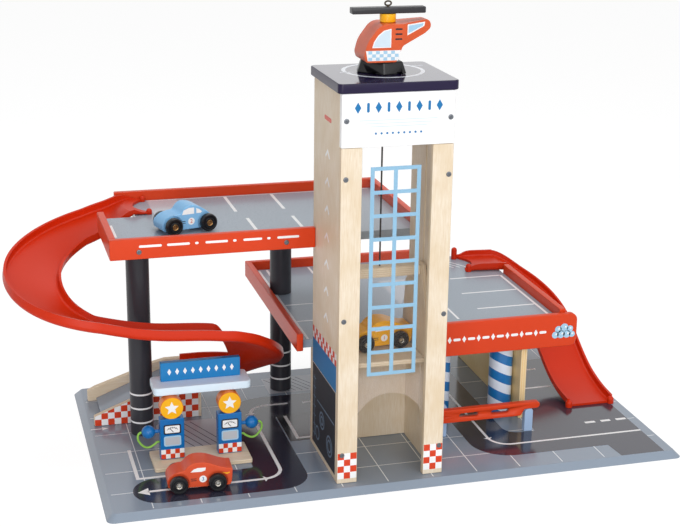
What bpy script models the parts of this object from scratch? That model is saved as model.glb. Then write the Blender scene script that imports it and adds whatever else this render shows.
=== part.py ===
# Toy parking garage: base board, tower with a hand cranked lift, two parking decks, two slides,
# a return ramp, fuel pumps, a car wash with a barrier, a helicopter and three cars.
# Row frame: origin at the centre of the base board's underside, +X right, +Y back, +Z up.
# Sizes are in millimetres and turned into metres when the meshes are made.
import bpy
import bmesh
import math
from mathutils import Matrix, Vector

MM = 0.001

# Clearances
GAP = 0.3            # between pieces that are glued or screwed face to face
RUN = 0.08           # radial play of a pin in its bore
PLAY = 1.0           # side play of the lift between the tower panels
GROOVE_PLAY = 0.6    # play of the lift's tongues in the panel grooves

# Base board
BASE_W = 700.0
BASE_D = 383.0
BASE_T = 8.0         # its edge is cut at 45 degrees over the whole thickness

# Tower
TOWER_X = -20.0      # centre line
TOWER_W = 128.0
TOWER_FRONT = -173.0
TOWER_BACK = -57.0
PANEL_T = 9.0
FRONT_T = 7.7
BACK_T = 7.7
POST_W = 23.8
TOWER_H = 463.2      # top of the side panels above the floor
SIGN_H = 59.0
GROOVE_W = 6.4
GROOVE_DEPTH = 4.0
GROOVE_Z = 43.0
PANE_T = 2.0
PANE_DOWN = 8.2      # the pane's top below the side panels' top
PANE_TOP = TOWER_H - PANE_DOWN
ARCH_R = 42.0
ARCH_SPRING = 70.0

# Roof
ROOF_T = 10.5
ROOF_SIDE = 4.0      # how far the roof stands out at the sides
ROOF_FRONT = 2.0
ROOF_BACK = 6.0
ROOF_CORNER = 6.0

# Decks
DECK_T = 10.0
LOWER_Z = 144.0      # top of the lower deck
UPPER_Z = 275.0      # top of the upper deck
RAIL_T = 8.0
RAIL_UP = 12.0       # rail above the deck's top
LOWER_X0, LOWER_X1, LOWER_Y1 = -106.0, 245.0, 231.0
UPPER_X0, UPPER_X1, UPPER_Y1 = -323.0, 52.0, 148.0
UPPER_FRONT = -69.0
FASCIA_H = 43.0
FASCIA_X1 = 258.0

# Pillars
PILLAR_D = 28.0
PILLAR_1 = (-280.5, 25.7)
PILLAR_2 = (-80.7, 124.0)

# Slides
LEFT_SLIDE_W = 68.0
LEFT_SLIDE_H = 13.2
RIGHT_SLIDE_W = 64.0
RIGHT_SLIDE_H = 11.5
SLIDE_WALL = 3.2
SLIDE_FLOOR = 3.0
SLIDE_LIP = 21.0     # length of the left slide's ears that lie on the deck
LEFT_START = (-276.0, 105.0)
RIGHT_START = (190.0, 179.3)
RIGHT_DRIFT = 6.5    # how far the right slide has drawn forward where it leaves the deck
MOUTH_EDGE = 2.0     # from the deck's notch to the middle of the left mouth's hollow edge
MOUTH_SIDE = 4.8     # floor left at each wall of a mouth
RIGHT_MOUTH = 17.0   # depth of the right mouth's hollow edge

# Ramp
RAMP_WALL_T = 8.0
RAMP_Y = 101.0       # centre line, shared with the left slide's end
RAMP_SIDE_GAP = 3.0  # between the slide's end and the ramp's walls
RAMP_X0, RAMP_X1 = -336.0, -200.5
RAMP_FOOT = -325.0
RAMP_TOP_Z = 51.8

# Lift
PLATFORM_T = 6.0
PLATFORM_FRONT, PLATFORM_BACK = -146.0, -60.0
CHEEK_T = 6.0
CAGE_H = 106.0       # crossbar's top above the platform's top
CROSSBAR_H = 12.0
CROSSBAR_Y0, CROSSBAR_Y1 = -122.0, -104.0
GUIDE_Y = -110.0
WINCH_DOWN = 28.2    # the crank's axle below the side panels' top
WINCH_Y, WINCH_Z = -104.0, TOWER_H - WINCH_DOWN
DRUM_R = 10.0
AXLE_R = 3.0
CORD_R = 1.0
CRANK_R = 16.0

# Car wash and barrier
WASH_WALL_X0, WASH_WALL_T = 192.0, 8.0
ROLLER_R = 15.0
ROLLER_Y = -20.0
ROLLER_X = (91.0, 176.0)
ROLLER_PIN_R = 3.0
ROLLER_PIN_L = 5.0
BOOM_Y, BOOM_T = -84.0, 8.0
BOOM_Z0, BOOM_Z1 = 30.0, 47.0
BOOM_PIVOT_X, BOOM_PIVOT_Z = 70.0, 38.5

# Fuel pumps
ISLAND = (-282.0, -166.0, -94.0, -43.0)
ISLAND_T = 5.0
PUMP_FRONT = -72.0
PUMP_D = 13.0
PUMP_W = 28.6
PUMP_H = 51.5
PUMP_X = (-257.7, -188.7)
DISC_R = 13.8
DISC_T = 15.0
CANOPY = (-277.0, -161.0, -66.0, -26.0)
CANOPY_T = 9.6
SIGN_BLOCK = (-266.0, -170.5, -46.0, -38.0, 23.5)
NOZZLE_Z, NOZZLE_Y = 48.5, -65.5
NOZZLE_R = 8.0
NOZZLE_OUT = 13.2    # ball centre from the pump's side
PEG_R = 2.2
HOSE_R = 1.3

# Helicopter
HELI_X, HELI_Y = -16.2, -113.0
HELI_T = 40.0
HELI_TAIL_T = 14.0
SKID_H = 13.7
SKID_PLAN = ((-9.8, -22.0), (18.2, -16.5), (18.2, 16.0), (-9.8, 22.0), (-30.8, 15.0), (-32.8, 4.0))
SKID_MIDDLE = -7.3       # middle of the plan from the mast's axis
SKID_TOP_SHARE = 0.84    # the block narrows to this share at its top
SKID_GROOVES = ((-40.0, 25.0, -13.5, -5.0), (6.0, 13.0, -30.0, 30.0))
SKID_GROOVE_H = 2.6
HUB_R, HUB_H = 9.0, 9.0
ROTOR_L, ROTOR_W, ROTOR_H = 84.0, 12.0, 7.0
PIN_R = 1.5

# Cars
CAR_BODY_W = 28.0
CAR_WHEELBASE = 44.0
WHEEL_R = 10.5
WHEEL_T = 7.0
WHEEL_GAP = 0.4
CAR_AXLE_R = 2.0
COUPE_LINE = ((-34.0, 6.0), (-34.8, 12.0), (-33.0, 17.5), (-28.0, 21.8), (-21.9, 24.2), (-16.0, 25.2), (-11.4, 30.0),
              (-5.5, 33.4), (2.5, 34.4), (10.6, 33.4), (18.7, 30.4), (26.8, 27.2), (34.0, 25.2), (38.4, 24.8),
              (39.8, 22.0), (38.8, 8.0))
ROUND_LINE = ((-34.0, 6.0), (-34.8, 12.0), (-31.4, 18.0), (-25.4, 21.6), (-18.0, 22.8), (-11.5, 23.8), (-6.6, 29.4),
              (-1.3, 32.4), (6.6, 32.0), (14.7, 28.6), (21.6, 23.8), (28.0, 18.4), (33.0, 12.6), (35.2, 7.0))

# Heights that follow from the sizes above
FLOOR = BASE_T + GAP                       # underside of what stands on the base
LOWER_BOTTOM = LOWER_Z - DECK_T
UPPER_BOTTOM = UPPER_Z - DECK_T
TX0 = TOWER_X - TOWER_W / 2                # tower's outer left face
TX1 = TOWER_X + TOWER_W / 2
IN0 = TX0 + PANEL_T                        # inner faces
IN1 = TX1 - PANEL_T
PANEL_FRONT = TOWER_FRONT + FRONT_T + GAP
ROOF_Z = TOWER_H + GAP
ROOF_TOP = ROOF_Z + ROOF_T
DECK_FRONT = TOWER_BACK + GAP

COLOURS = {
    "board_grey": (0.27, 0.32, 0.37), "birch": (0.86, 0.72, 0.52), "birch_edge": (0.72, 0.52, 0.33),
    "red": (0.72, 0.06, 0.02), "slide_red": (0.58, 0.03, 0.015), "charcoal": (0.04, 0.04, 0.05),
    "clear": (0.85, 0.9, 0.95), "blue": (0.02, 0.14, 0.42), "pale_blue": (0.62, 0.74, 0.9),
    "yellow": (0.93, 0.47, 0.01), "green": (0.26, 0.53, 0.08), "black": (0.015, 0.015, 0.015),
    "sky": (0.16, 0.39, 0.71), "amber": (0.87, 0.44, 0.02), "steel": (0.45, 0.45, 0.46),
    "deck_grey": (0.4, 0.44, 0.48),
}


def clear_scene():
    for ob in list(bpy.context.scene.objects):
        bpy.data.objects.remove(ob, do_unlink=True)


clear_scene()
PARTS = bpy.data.collections.new("toy_garage")
CUTTERS = bpy.data.collections.new("cutters")
bpy.context.scene.collection.children.link(PARTS)
bpy.context.scene.collection.children.link(CUTTERS)


def material(name):
    mat = bpy.data.materials.get(name)
    if mat is None:
        mat = bpy.data.materials.new(name)
        mat.use_nodes = True
        shader = mat.node_tree.nodes["Principled BSDF"]
        shader.inputs["Base Color"].default_value = (*COLOURS[name], 1.0)
        shader.inputs["Roughness"].default_value = 0.4
    return mat


def finish(name, bm, mat, bevel=0.0, segments=1, origin=None, cutter=False):
    """Turn a bmesh in millimetres into a named object in metres."""
    bmesh.ops.remove_doubles(bm, verts=bm.verts, dist=0.01)
    bmesh.ops.recalc_face_normals(bm, faces=bm.faces)
    if bevel:
        edges = [e for e in bm.edges if len(e.link_faces) == 2 and e.calc_face_angle(0.0) > 0.6]
        bmesh.ops.bevel(bm, geom=edges, offset=bevel, segments=segments, profile=0.5,
                        affect='EDGES', clamp_overlap=True)
    pivot = Vector(origin) if origin is not None else Vector((0.0, 0.0, 0.0))
    bmesh.ops.transform(bm, matrix=Matrix.Scale(MM, 4) @ Matrix.Translation(-pivot), verts=bm.verts)
    mesh = bpy.data.meshes.new(name)
    bm.to_mesh(mesh)
    bm.free()
    ob = bpy.data.objects.new(name, mesh)
    ob.location = pivot * MM
    if cutter:
        CUTTERS.objects.link(ob)
        ob.hide_render = True
        ob.display_type = 'WIRE'
    else:
        PARTS.objects.link(ob)
        mesh.materials.append(material(mat))
    return ob


def lift_point(axis, a, b, c):
    """Place a flat outline point (a, b) at depth c along the axis."""
    return {'X': (c, a, b), 'Y': (a, c, b), 'Z': (a, b, c)}[axis]


def prism_bm(outline, axis, lo, hi):
    bm = bmesh.new()
    low = [bm.verts.new(lift_point(axis, a, b, lo)) for a, b in outline]
    high = [bm.verts.new(lift_point(axis, a, b, hi)) for a, b in outline]
    bm.faces.new(low)
    bm.faces.new(list(reversed(high)))
    count = len(outline)
    for i in range(count):
        j = (i + 1) % count
        bm.faces.new((low[i], low[j], high[j], high[i]))
    return bm


def prism(name, outline, axis, lo, hi, mat, bevel=0.0, **kw):
    return finish(name, prism_bm(outline, axis, lo, hi), mat, bevel, **kw)


def box(name, x0, x1, y0, y1, z0, z1, mat, bevel=0.0, **kw):
    return prism(name, [(x0, y0), (x1, y0), (x1, y1), (x0, y1)], 'Z', z0, z1, mat, bevel, **kw)


def arc(cx, cy, r, a0, a1, steps):
    return [(cx + r * math.cos(math.radians(a0 + (a1 - a0) * i / steps)),
             cy + r * math.sin(math.radians(a0 + (a1 - a0) * i / steps))) for i in range(steps + 1)]


def rounded_rect(x0, x1, y0, y1, r, steps=4):
    return (arc(x0 + r, y0 + r, r, 180, 270, steps) + arc(x1 - r, y0 + r, r, 270, 360, steps)
            + arc(x1 - r, y1 - r, r, 0, 90, steps) + arc(x0 + r, y1 - r, r, 90, 180, steps))


def lathe_bm(profile, centre, axis, segments=32):
    """Closed turned body. profile is (radius, distance along the axis), first and last on the axis."""
    bm = bmesh.new()
    cx, cy, cz = centre
    rings = []
    for r, a in profile:
        ring = []
        if r == 0.0:
            ring.append(bm.verts.new(turned(axis, 0.0, 0.0, a, cx, cy, cz)))
        else:
            for i in range(segments):
                t = 2.0 * math.pi * (i + 0.5) / segments
                ring.append(bm.verts.new(turned(axis, r * math.cos(t), r * math.sin(t), a, cx, cy, cz)))
        rings.append(ring)
    for one, two in zip(rings[:-1], rings[1:]):
        for i in range(segments):
            j = (i + 1) % segments
            quad = []
            for v in (one[i % len(one)], one[j % len(one)], two[j % len(two)], two[i % len(two)]):
                if v not in quad:
                    quad.append(v)
            if len(quad) > 2:
                bm.faces.new(quad)
    return bm


def turned(axis, u, v, a, cx, cy, cz):
    return {'X': (cx + a, cy + u, cz + v), 'Y': (cx + u, cy + a, cz + v),
            'Z': (cx + u, cy + v, cz + a)}[axis]


def lathe(name, profile, centre, axis, mat, segments=32, **kw):
    return finish(name, lathe_bm(profile, centre, axis, segments), mat, 0.0, **kw)


def rod_profile(r, a0, a1, edge=0.5):
    return [(0.0, a0), (r - edge, a0), (r, a0 + edge), (r, a1 - edge), (r - edge, a1), (0.0, a1)]


def plain_rod(r, a0, a1):
    return [(0.0, a0), (r, a0), (r, a1), (0.0, a1)]


def apply_boolean(ob, tool, operation):
    mod = ob.modifiers.new(tool.name, 'BOOLEAN')
    mod.operation = operation
    mod.solver = 'EXACT'
    mod.object = tool


def bore(ob, name, r, a0, a1, centre, axis, segments=32):
    tool = lathe(name, plain_rod(r, a0, a1), centre, axis, None, segments, cutter=True)
    apply_boolean(ob, tool, 'DIFFERENCE')


def smooth(points, steps, closed=False):
    """Catmull-Rom curve through the points, of any dimension."""
    out = []
    n = len(points)
    spans = n if closed else n - 1
    for i in range(spans):
        p1, p2 = points[i], points[(i + 1) % n]
        p0 = points[i - 1] if (closed or i > 0) else p1
        p3 = points[(i + 2) % n] if (closed or i + 2 < n) else p2
        for k in range(steps):
            t = k / steps
            out.append(tuple(0.5 * (2 * b + (c - a) * t + (2 * a - 5 * b + 4 * c - d) * t * t
                                    + (3 * b - a - 3 * c + d) * t * t * t)
                             for a, b, c, d in zip(p0, p1, p2, p3)))
    if not closed:
        out.append(tuple(points[-1]))
    return out


def monotone(xs, ys, x):
    """Monotone cubic curve through a table of heights or bank angles."""
    h = [b - a for a, b in zip(xs[:-1], xs[1:])]
    d = [(b - a) / s for a, b, s in zip(ys[:-1], ys[1:], h)]
    m = [d[0]]
    for i in range(1, len(d)):
        if d[i - 1] * d[i] <= 0:
            m.append(0.0)
        else:
            w1, w2 = 2 * h[i] + h[i - 1], h[i] + 2 * h[i - 1]
            m.append((w1 + w2) / (w1 / d[i - 1] + w2 / d[i]))
    m.append(d[-1])
    i = 0
    while i < len(h) - 1 and x > xs[i + 1]:
        i += 1
    t = min(1.0, max(0.0, (x - xs[i]) / h[i]))
    return ((1 + 2 * t) * (1 - t) ** 2 * ys[i] + t * (1 - t) ** 2 * h[i] * m[i]
            + t * t * (3 - 2 * t) * ys[i + 1] + t * t * (t - 1) * h[i] * m[i + 1])


def channel_profile(w, h):
    """Cross section of a slide: floor and two side walls with rounded tops."""
    a, t, f = w / 2, SLIDE_WALL, SLIDE_FLOOR
    return [(-a, 0), (a, 0), (a, h - 1.0), (a - 1.0, h), (a - t + 1.0, h), (a - t, h - 1.0), (a - t - 1.0, f),
            (-a + t + 1.0, f), (-a + t, h - 1.0), (-a + t - 1.0, h), (-a + 1.0, h), (-a, h - 1.0)]


def sweep_bm(stations, profile, shares=()):
    """stations: (x, y, z, side vector x, y, bank in radians). The section stays upright. shares lowers the
    walls at the first stations, each to that share of their height above the floor."""
    bm = bmesh.new()
    rings = []
    for n, (x, y, z, sx, sy, bank) in enumerate(stations):
        share = shares[n] if n < len(shares) else 1.0
        ring = []
        for off, height in profile:
            up = SLIDE_FLOOR + (height - SLIDE_FLOOR) * share if height > SLIDE_FLOOR else height
            across = off * math.cos(bank) - up * math.sin(bank)
            rise = off * math.sin(bank) + up * math.cos(bank)
            ring.append(bm.verts.new((x + sx * across, y + sy * across, z + rise)))
        rings.append(ring)
    n = len(profile)
    for one, two in zip(rings[:-1], rings[1:]):
        for i in range(n):
            j = (i + 1) % n
            bm.faces.new((one[i], one[j], two[j], two[i]))
    bm.faces.new(rings[0])
    bm.faces.new(list(reversed(rings[-1])))
    return bm


def stations_from(path, z_table, bank_table, side):
    """Heights and bank along a plan path. side is 1 where the outer wall is on the right."""
    lengths = [0.0]
    for (ax, ay), (bx, by) in zip(path[:-1], path[1:]):
        lengths.append(lengths[-1] + math.hypot(bx - ax, by - ay))
    total = lengths[-1]
    out = []
    for i, (x, y) in enumerate(path):
        x0, y0 = path[max(0, i - 1)]
        x1, y1 = path[min(len(path) - 1, i + 1)]
        h = math.atan2(y1 - y0, x1 - x0)
        u = lengths[i] / total
        z = monotone([p for p, q in z_table], [q for p, q in z_table], u)
        bank = math.radians(monotone([p for p, q in bank_table], [q for p, q in bank_table], u))
        out.append((x, y, z, side * math.sin(h), -side * math.cos(h), bank))
    return out


def tube_bm(points, r, sides=10):
    bm = bmesh.new()
    pts = [Vector(p) for p in points]
    rings = []
    normal = None
    for i, p in enumerate(pts):
        d = (pts[min(i + 1, len(pts) - 1)] - pts[max(i - 1, 0)]).normalized()
        if normal is None:
            normal = d.orthogonal().normalized()
        normal = (normal - d * normal.dot(d)).normalized()
        other = d.cross(normal)
        rings.append([bm.verts.new(p + r * (math.cos(2 * math.pi * k / sides) * normal
                                            + math.sin(2 * math.pi * k / sides) * other))
                      for k in range(sides)])
    for one, two in zip(rings[:-1], rings[1:]):
        for k in range(sides):
            j = (k + 1) % sides
            bm.faces.new((one[k], one[j], two[j], two[k]))
    bm.faces.new(rings[0])
    bm.faces.new(list(reversed(rings[-1])))
    return bm


# Base, pillars and decks

def make_base():
    bm = bmesh.new()
    w, d, t = BASE_W / 2, BASE_D / 2, BASE_T
    low = [bm.verts.new((x, y, 0)) for x, y in ((-w, -d), (w, -d), (w, d), (-w, d))]
    high = [bm.verts.new((x, y, t)) for x, y in ((t - w, t - d), (w - t, t - d), (w - t, d - t), (t - w, d - t))]
    bm.faces.new(low)
    bm.faces.new(list(reversed(high)))
    for i in range(4):
        j = (i + 1) % 4
        bm.faces.new((low[i], low[j], high[j], high[i]))
    base = finish("base_board", bm, "board_grey")
    for i, x in enumerate(ROLLER_X):
        bore(base, "base_bore_%d" % i, ROLLER_PIN_R + RUN, BASE_T - ROLLER_PIN_L - GAP, BASE_T + 1,
             (x, ROLLER_Y, 0), 'Z', 36)


def make_pillars():
    r = PILLAR_D / 2
    lathe("pillar_left", rod_profile(r, FLOOR, UPPER_BOTTOM - GAP), (*PILLAR_1, 0), 'Z', "charcoal", 40)
    lathe("pillar_mid_lower", rod_profile(r, FLOOR, LOWER_BOTTOM - GAP), (*PILLAR_2, 0), 'Z', "charcoal", 40)
    lathe("pillar_mid_upper", rod_profile(r, LOWER_Z + GAP, UPPER_BOTTOM - GAP), (*PILLAR_2, 0), 'Z',
          "charcoal", 40)


def make_upper_deck():
    ix0 = UPPER_X0 + RAIL_T + GAP
    ix1 = UPPER_X1 - RAIL_T - GAP
    iy1 = UPPER_Y1 - RAIL_T - GAP
    front = UPPER_FRONT + RAIL_T + GAP
    notch_x = LEFT_START[0] + 1.0
    notch_y = LEFT_START[1] - LEFT_SLIDE_W / 2 - 5.0
    z0, z1 = UPPER_BOTTOM - 2.0, UPPER_Z + RAIL_UP
    outline = [(ix0, front), (TX0 - GAP, front), (TX0 - GAP, DECK_FRONT), (ix1, DECK_FRONT), (ix1, iy1),
               (notch_x, iy1), (notch_x, notch_y), (ix0, notch_y)]
    prism("upper_deck", outline, 'Z', UPPER_BOTTOM, UPPER_Z, "deck_grey", 0.3)
    box("upper_fascia", UPPER_X0, TX0 - GAP, UPPER_FRONT, UPPER_FRONT + RAIL_T, z0, z1, "red", 0.8)
    box("upper_left_rail", UPPER_X0, UPPER_X0 + RAIL_T, front, notch_y - 11.0, z0, z1, "red", 0.8)
    rail = [(-292.0, UPPER_Y1 - RAIL_T), (UPPER_X1 - RAIL_T, UPPER_Y1 - RAIL_T), (UPPER_X1 - RAIL_T, DECK_FRONT),
            (UPPER_X1, DECK_FRONT), (UPPER_X1, UPPER_Y1), (-292.0, UPPER_Y1)]
    prism("upper_back_rail", rail, 'Z', z0, z1, "red", 0.8)


def make_lower_deck():
    ix0 = LOWER_X0 + RAIL_T + GAP
    ix1 = LOWER_X1 - RAIL_T - GAP
    iy1 = LOWER_Y1 - RAIL_T - GAP
    z0, z1 = LOWER_BOTTOM, LOWER_Z + RAIL_UP
    deck = box("lower_deck", ix0, ix1, DECK_FRONT, iy1, LOWER_BOTTOM, LOWER_Z, "deck_grey", 0.3)
    for i, x in enumerate(ROLLER_X):
        bore(deck, "deck_bore_%d" % i, ROLLER_PIN_R + RUN, LOWER_BOTTOM - 1,
             LOWER_BOTTOM + ROLLER_PIN_L + GAP, (x, ROLLER_Y, 0), 'Z', 36)
    y0 = DECK_FRONT - 11.0
    rail = [(LOWER_X0, y0), (LOWER_X0 + RAIL_T, y0), (LOWER_X0 + RAIL_T, LOWER_Y1 - RAIL_T),
            (RIGHT_START[0] - 3.0, LOWER_Y1 - RAIL_T), (RIGHT_START[0] - 3.0, LOWER_Y1), (LOWER_X0, LOWER_Y1)]
    prism("lower_back_rail", rail, 'Z', z0, z1, "red", 0.8)
    box("lower_right_rail", LOWER_X1 - RAIL_T, LOWER_X1, DECK_FRONT, 134.0, z0, z1, "red", 0.8)
    top = LOWER_Z + 8.0
    r = 9.0
    face = ([(TX1 + GAP, top - FASCIA_H)] + arc(FASCIA_X1 - r, top - FASCIA_H + r, r, 270, 360, 5)
            + arc(FASCIA_X1 - r, top - r, r, 0, 90, 5) + [(TX1 + GAP, top)])
    prism("wash_fascia", face, 'Y', DECK_FRONT - GAP - RAIL_T, DECK_FRONT - GAP, "red", 0.8)


# Slides and ramp

def cut_mouth(slide, name, x, y, depth, width, top, side):
    """Cuts the hollow edge of a slide's floor between its two ears, towards -X at side 180 and +X at 0."""
    half = width / 2 - SLIDE_WALL - MOUTH_SIDE
    edge = [(x + depth * math.cos(math.radians(side + t)), y + half * math.sin(math.radians(side + t)))
            for t in range(-90, 91, 15)]
    cutter = prism(name, edge, 'Z', top - 1.0, top + SLIDE_FLOOR + 1.0, None, cutter=True)
    apply_boolean(slide, cutter, 'DIFFERENCE')


def left_path():
    x0, ys = LEFT_START
    xl, ax = -335.2, 70.6
    front_y = -36.0
    ay = (ys - front_y) / 2
    xr, bx = -194.6, 61.0
    by = (RAMP_Y - front_y) / 2
    path = [(x0 + (xl - x0) * i / 8, ys) for i in range(9)]
    path += [(xl - ax * math.sin(math.pi * i / 26), ys - ay + ay * math.cos(math.pi * i / 26)) for i in range(1, 27)]
    path += [(xl + (xr - xl) * i / 8, front_y) for i in range(1, 9)]
    path += [(xr + bx * math.sin(math.pi * i / 24), front_y + by - by * math.cos(math.pi * i / 24))
             for i in range(1, 25)]
    path += [(xr + (-215.0 - xr) * i / 2, RAMP_Y) for i in range(1, 3)]
    return path


def make_left_slide():
    top = UPPER_Z + GAP
    end = RAMP_TOP_Z + GAP
    z = [(0, top), (0.014, 271.2), (0.0264, 266.0), (0.045, 259.8), (0.0665, 254.5), (0.2221, 217.4),
         (0.3777, 180.4), (0.5333, 155.1), (0.665, 146.5), (0.69, 139.3), (0.716, 127.0), (0.742, 112.9),
         (0.769, 98.6), (0.797, 86.0), (0.825, 72.5), (0.8444, 65.5), (0.87, 57.8), (0.9, 53.0), (0.93, end), (1, end)]
    bank = [(0, 0), (0.014, 4), (0.0264, 8), (0.045, 12), (0.0873, 16), (0.274, 10.6), (0.4814, 12.1),
            (0.7407, 11), (0.8963, 3), (0.9585, 0), (1, 0)]
    st = stations_from(left_path(), z, bank, 1)
    x, y = LEFT_START
    st.insert(0, (x + SLIDE_LIP / 2, y, top, 0.0, 1.0, 0.0))
    st.insert(0, (x + SLIDE_LIP, y, top, 0.0, 1.0, 0.0))
    section = channel_profile(LEFT_SLIDE_W, LEFT_SLIDE_H)
    slide = finish("left_slide", sweep_bm(st, section, (0.15, 0.2, 0.5, 0.75)), "slide_red")
    cut_mouth(slide, "left_mouth", x + SLIDE_LIP + 1.0, y, SLIDE_LIP + 1.0 - MOUTH_EDGE, LEFT_SLIDE_W, top, 180)
    for i, s in enumerate((-1, 1)):
        edge = y + s * (LEFT_SLIDE_W / 2 - 2.0)
        post = lathe("left_slide_post_%d" % i, rod_profile(3.6, 0.0, 7.0, 1.0), (x + SLIDE_LIP - 2.6, edge - s * 1.8, top),
                     'Z', None, 20, cutter=True)
        apply_boolean(slide, post, 'UNION')


def right_path():
    x0, ys = RIGHT_START
    xs, a, b = 244.2, 56.1, 77.2
    rise = b - RIGHT_DRIFT
    path = [(x0 + (xs - x0) * i / 6, ys - RIGHT_DRIFT * i / 6) for i in range(7)]
    path += [(xs + a * math.sin(math.pi / 2 * i / 18), ys - b + rise * math.cos(math.pi / 2 * i / 18))
             for i in range(1, 19)]
    path += [(xs + a, ys - b + (-30.0 - ys + b) * i / 12) for i in range(1, 13)]
    return path


def make_right_slide():
    top = LOWER_Z + GAP
    z = [(0, top), (0.182, top), (0.3, 116.5), (0.45, 82.5), (0.6, 49.0), (0.8, 18.5), (0.92, 10.4), (1, FLOOR)]
    bank = [(0, 0), (0.18, 0), (0.4, 2.0), (0.65, -4.0), (0.9, 0), (1, 0)]
    st = stations_from(right_path(), z, bank, -1)
    section = channel_profile(RIGHT_SLIDE_W, RIGHT_SLIDE_H)
    slide = finish("right_slide", sweep_bm(st, section, (0.4, 0.7)), "slide_red")
    x, y = RIGHT_START
    cut_mouth(slide, "right_mouth", x - 1.0, y, RIGHT_MOUTH, RIGHT_SLIDE_W, top, 0)
    a = RIGHT_SLIDE_W / 2
    posts = [(x + 2.0, y + a - 2.4, top, 4.0, 17.0), (x + 2.0, y - a + 2.4, top, 4.0, 11.0),
             (300.3 - a + 2.4, -30.0, FLOOR, 4.5, 9.5), (300.3 + a - 2.4, -30.0, FLOOR, 4.5, 9.5)]
    for i, (px, py, pz, r, h) in enumerate(posts):
        post = lathe("right_slide_post_%d" % i, rod_profile(r, 0.0, h, 1.6), (px, py, pz), 'Z', None, 20, cutter=True)
        apply_boolean(slide, post, 'UNION')


def make_ramp():
    half = LEFT_SLIDE_W / 2 + RAMP_SIDE_GAP
    inner_front, inner_back = RAMP_Y - half, RAMP_Y + half
    front = [(RAMP_X0, FLOOR), (RAMP_X1, FLOOR), (RAMP_X1, 41.0), (-270.0, 40.5), (-292.0, 37.9), (RAMP_X0, 20.7)]
    back = [(RAMP_X0, FLOOR), (RAMP_X1, FLOOR), (RAMP_X1, 57.0), (-204.5, 58.0), (-234.0, 58.0), (-249.0, 54.5),
            (-281.0, 42.0), (-326.0, 27.0), (RAMP_X0, 22.0)]
    prism("ramp_front_wall", front, 'Y', inner_front - RAMP_WALL_T, inner_front, "birch", 0.5)
    prism("ramp_back_wall", back, 'Y', inner_back, inner_back + RAMP_WALL_T, "birch", 0.5)
    slope = [(RAMP_FOOT, FLOOR), (RAMP_X1, FLOOR), (RAMP_X1, RAMP_TOP_Z), (-224.0, RAMP_TOP_Z),
             (-281.0, 30.0), (RAMP_FOOT, FLOOR + 4.2)]
    prism("ramp_deck", slope, 'Y', inner_front + GAP, inner_back - GAP, "board_grey", 0.3)


# Tower, roof and lift

def make_tower():
    for name, lo, hi, inner, sign in (("tower_left_panel", TX0, IN0, IN0, 1), ("tower_right_panel", IN1, TX1, IN1, -1)):
        panel = box(name, lo, hi, PANEL_FRONT, TOWER_BACK, FLOOR, TOWER_H, "birch", 0.4)
        g0, g1 = sorted((inner + sign, inner - sign * GROOVE_DEPTH))
        groove = box(name + "_groove", g0, g1, GUIDE_Y - GROOVE_W / 2, GUIDE_Y + GROOVE_W / 2, GROOVE_Z,
                     PANE_TOP, None, cutter=True)
        apply_boolean(panel, groove, 'DIFFERENCE')
        b0, b1 = (inner - 4.0, inner + 1.0) if sign > 0 else (lo - 1.0, hi + 1.0)
        bore(panel, name + "_bore", AXLE_R + RUN, b0, b1, (0, WINCH_Y, WINCH_Z), 'X', 32)
    y0, y1 = TOWER_FRONT, TOWER_FRONT + FRONT_T
    sign_z = TOWER_H - SIGN_H
    box("tower_sign_board", TX0, TX1, y0, y1, sign_z, TOWER_H, "birch", 0.5)
    box("tower_left_post", TX0, TX0 + POST_W, y0, y1, FLOOR, sign_z - GAP, "birch", 0.5)
    box("tower_right_post", TX1 - POST_W, TX1, y0, y1, FLOOR, sign_z - GAP, "birch", 0.5)
    box("tower_back_board", TX0, TX1, DECK_FRONT, DECK_FRONT + BACK_T, FLOOR, LOWER_BOTTOM - GAP, "birch", 0.5)
    arch = ([(IN0 + GAP, FLOOR), (TOWER_X - ARCH_R, FLOOR)] + arc(TOWER_X, ARCH_SPRING, ARCH_R, 180, 0, 24)
            + [(TOWER_X + ARCH_R, FLOOR), (IN1 - GAP, FLOOR), (IN1 - GAP, PANE_TOP), (IN0 + GAP, PANE_TOP)])
    prism("window_pane", arch, 'Y', PANEL_FRONT + GAP, PANEL_FRONT + GAP + PANE_T, "clear")


def make_roof():
    outline = rounded_rect(TX0 - ROOF_SIDE, TX1 + ROOF_SIDE, TOWER_FRONT - ROOF_FRONT, TOWER_BACK + ROOF_BACK,
                           ROOF_CORNER, 5)
    prism("roof_board", outline, 'Z', ROOF_Z, ROOF_TOP, "board_grey", 0.8)


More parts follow.
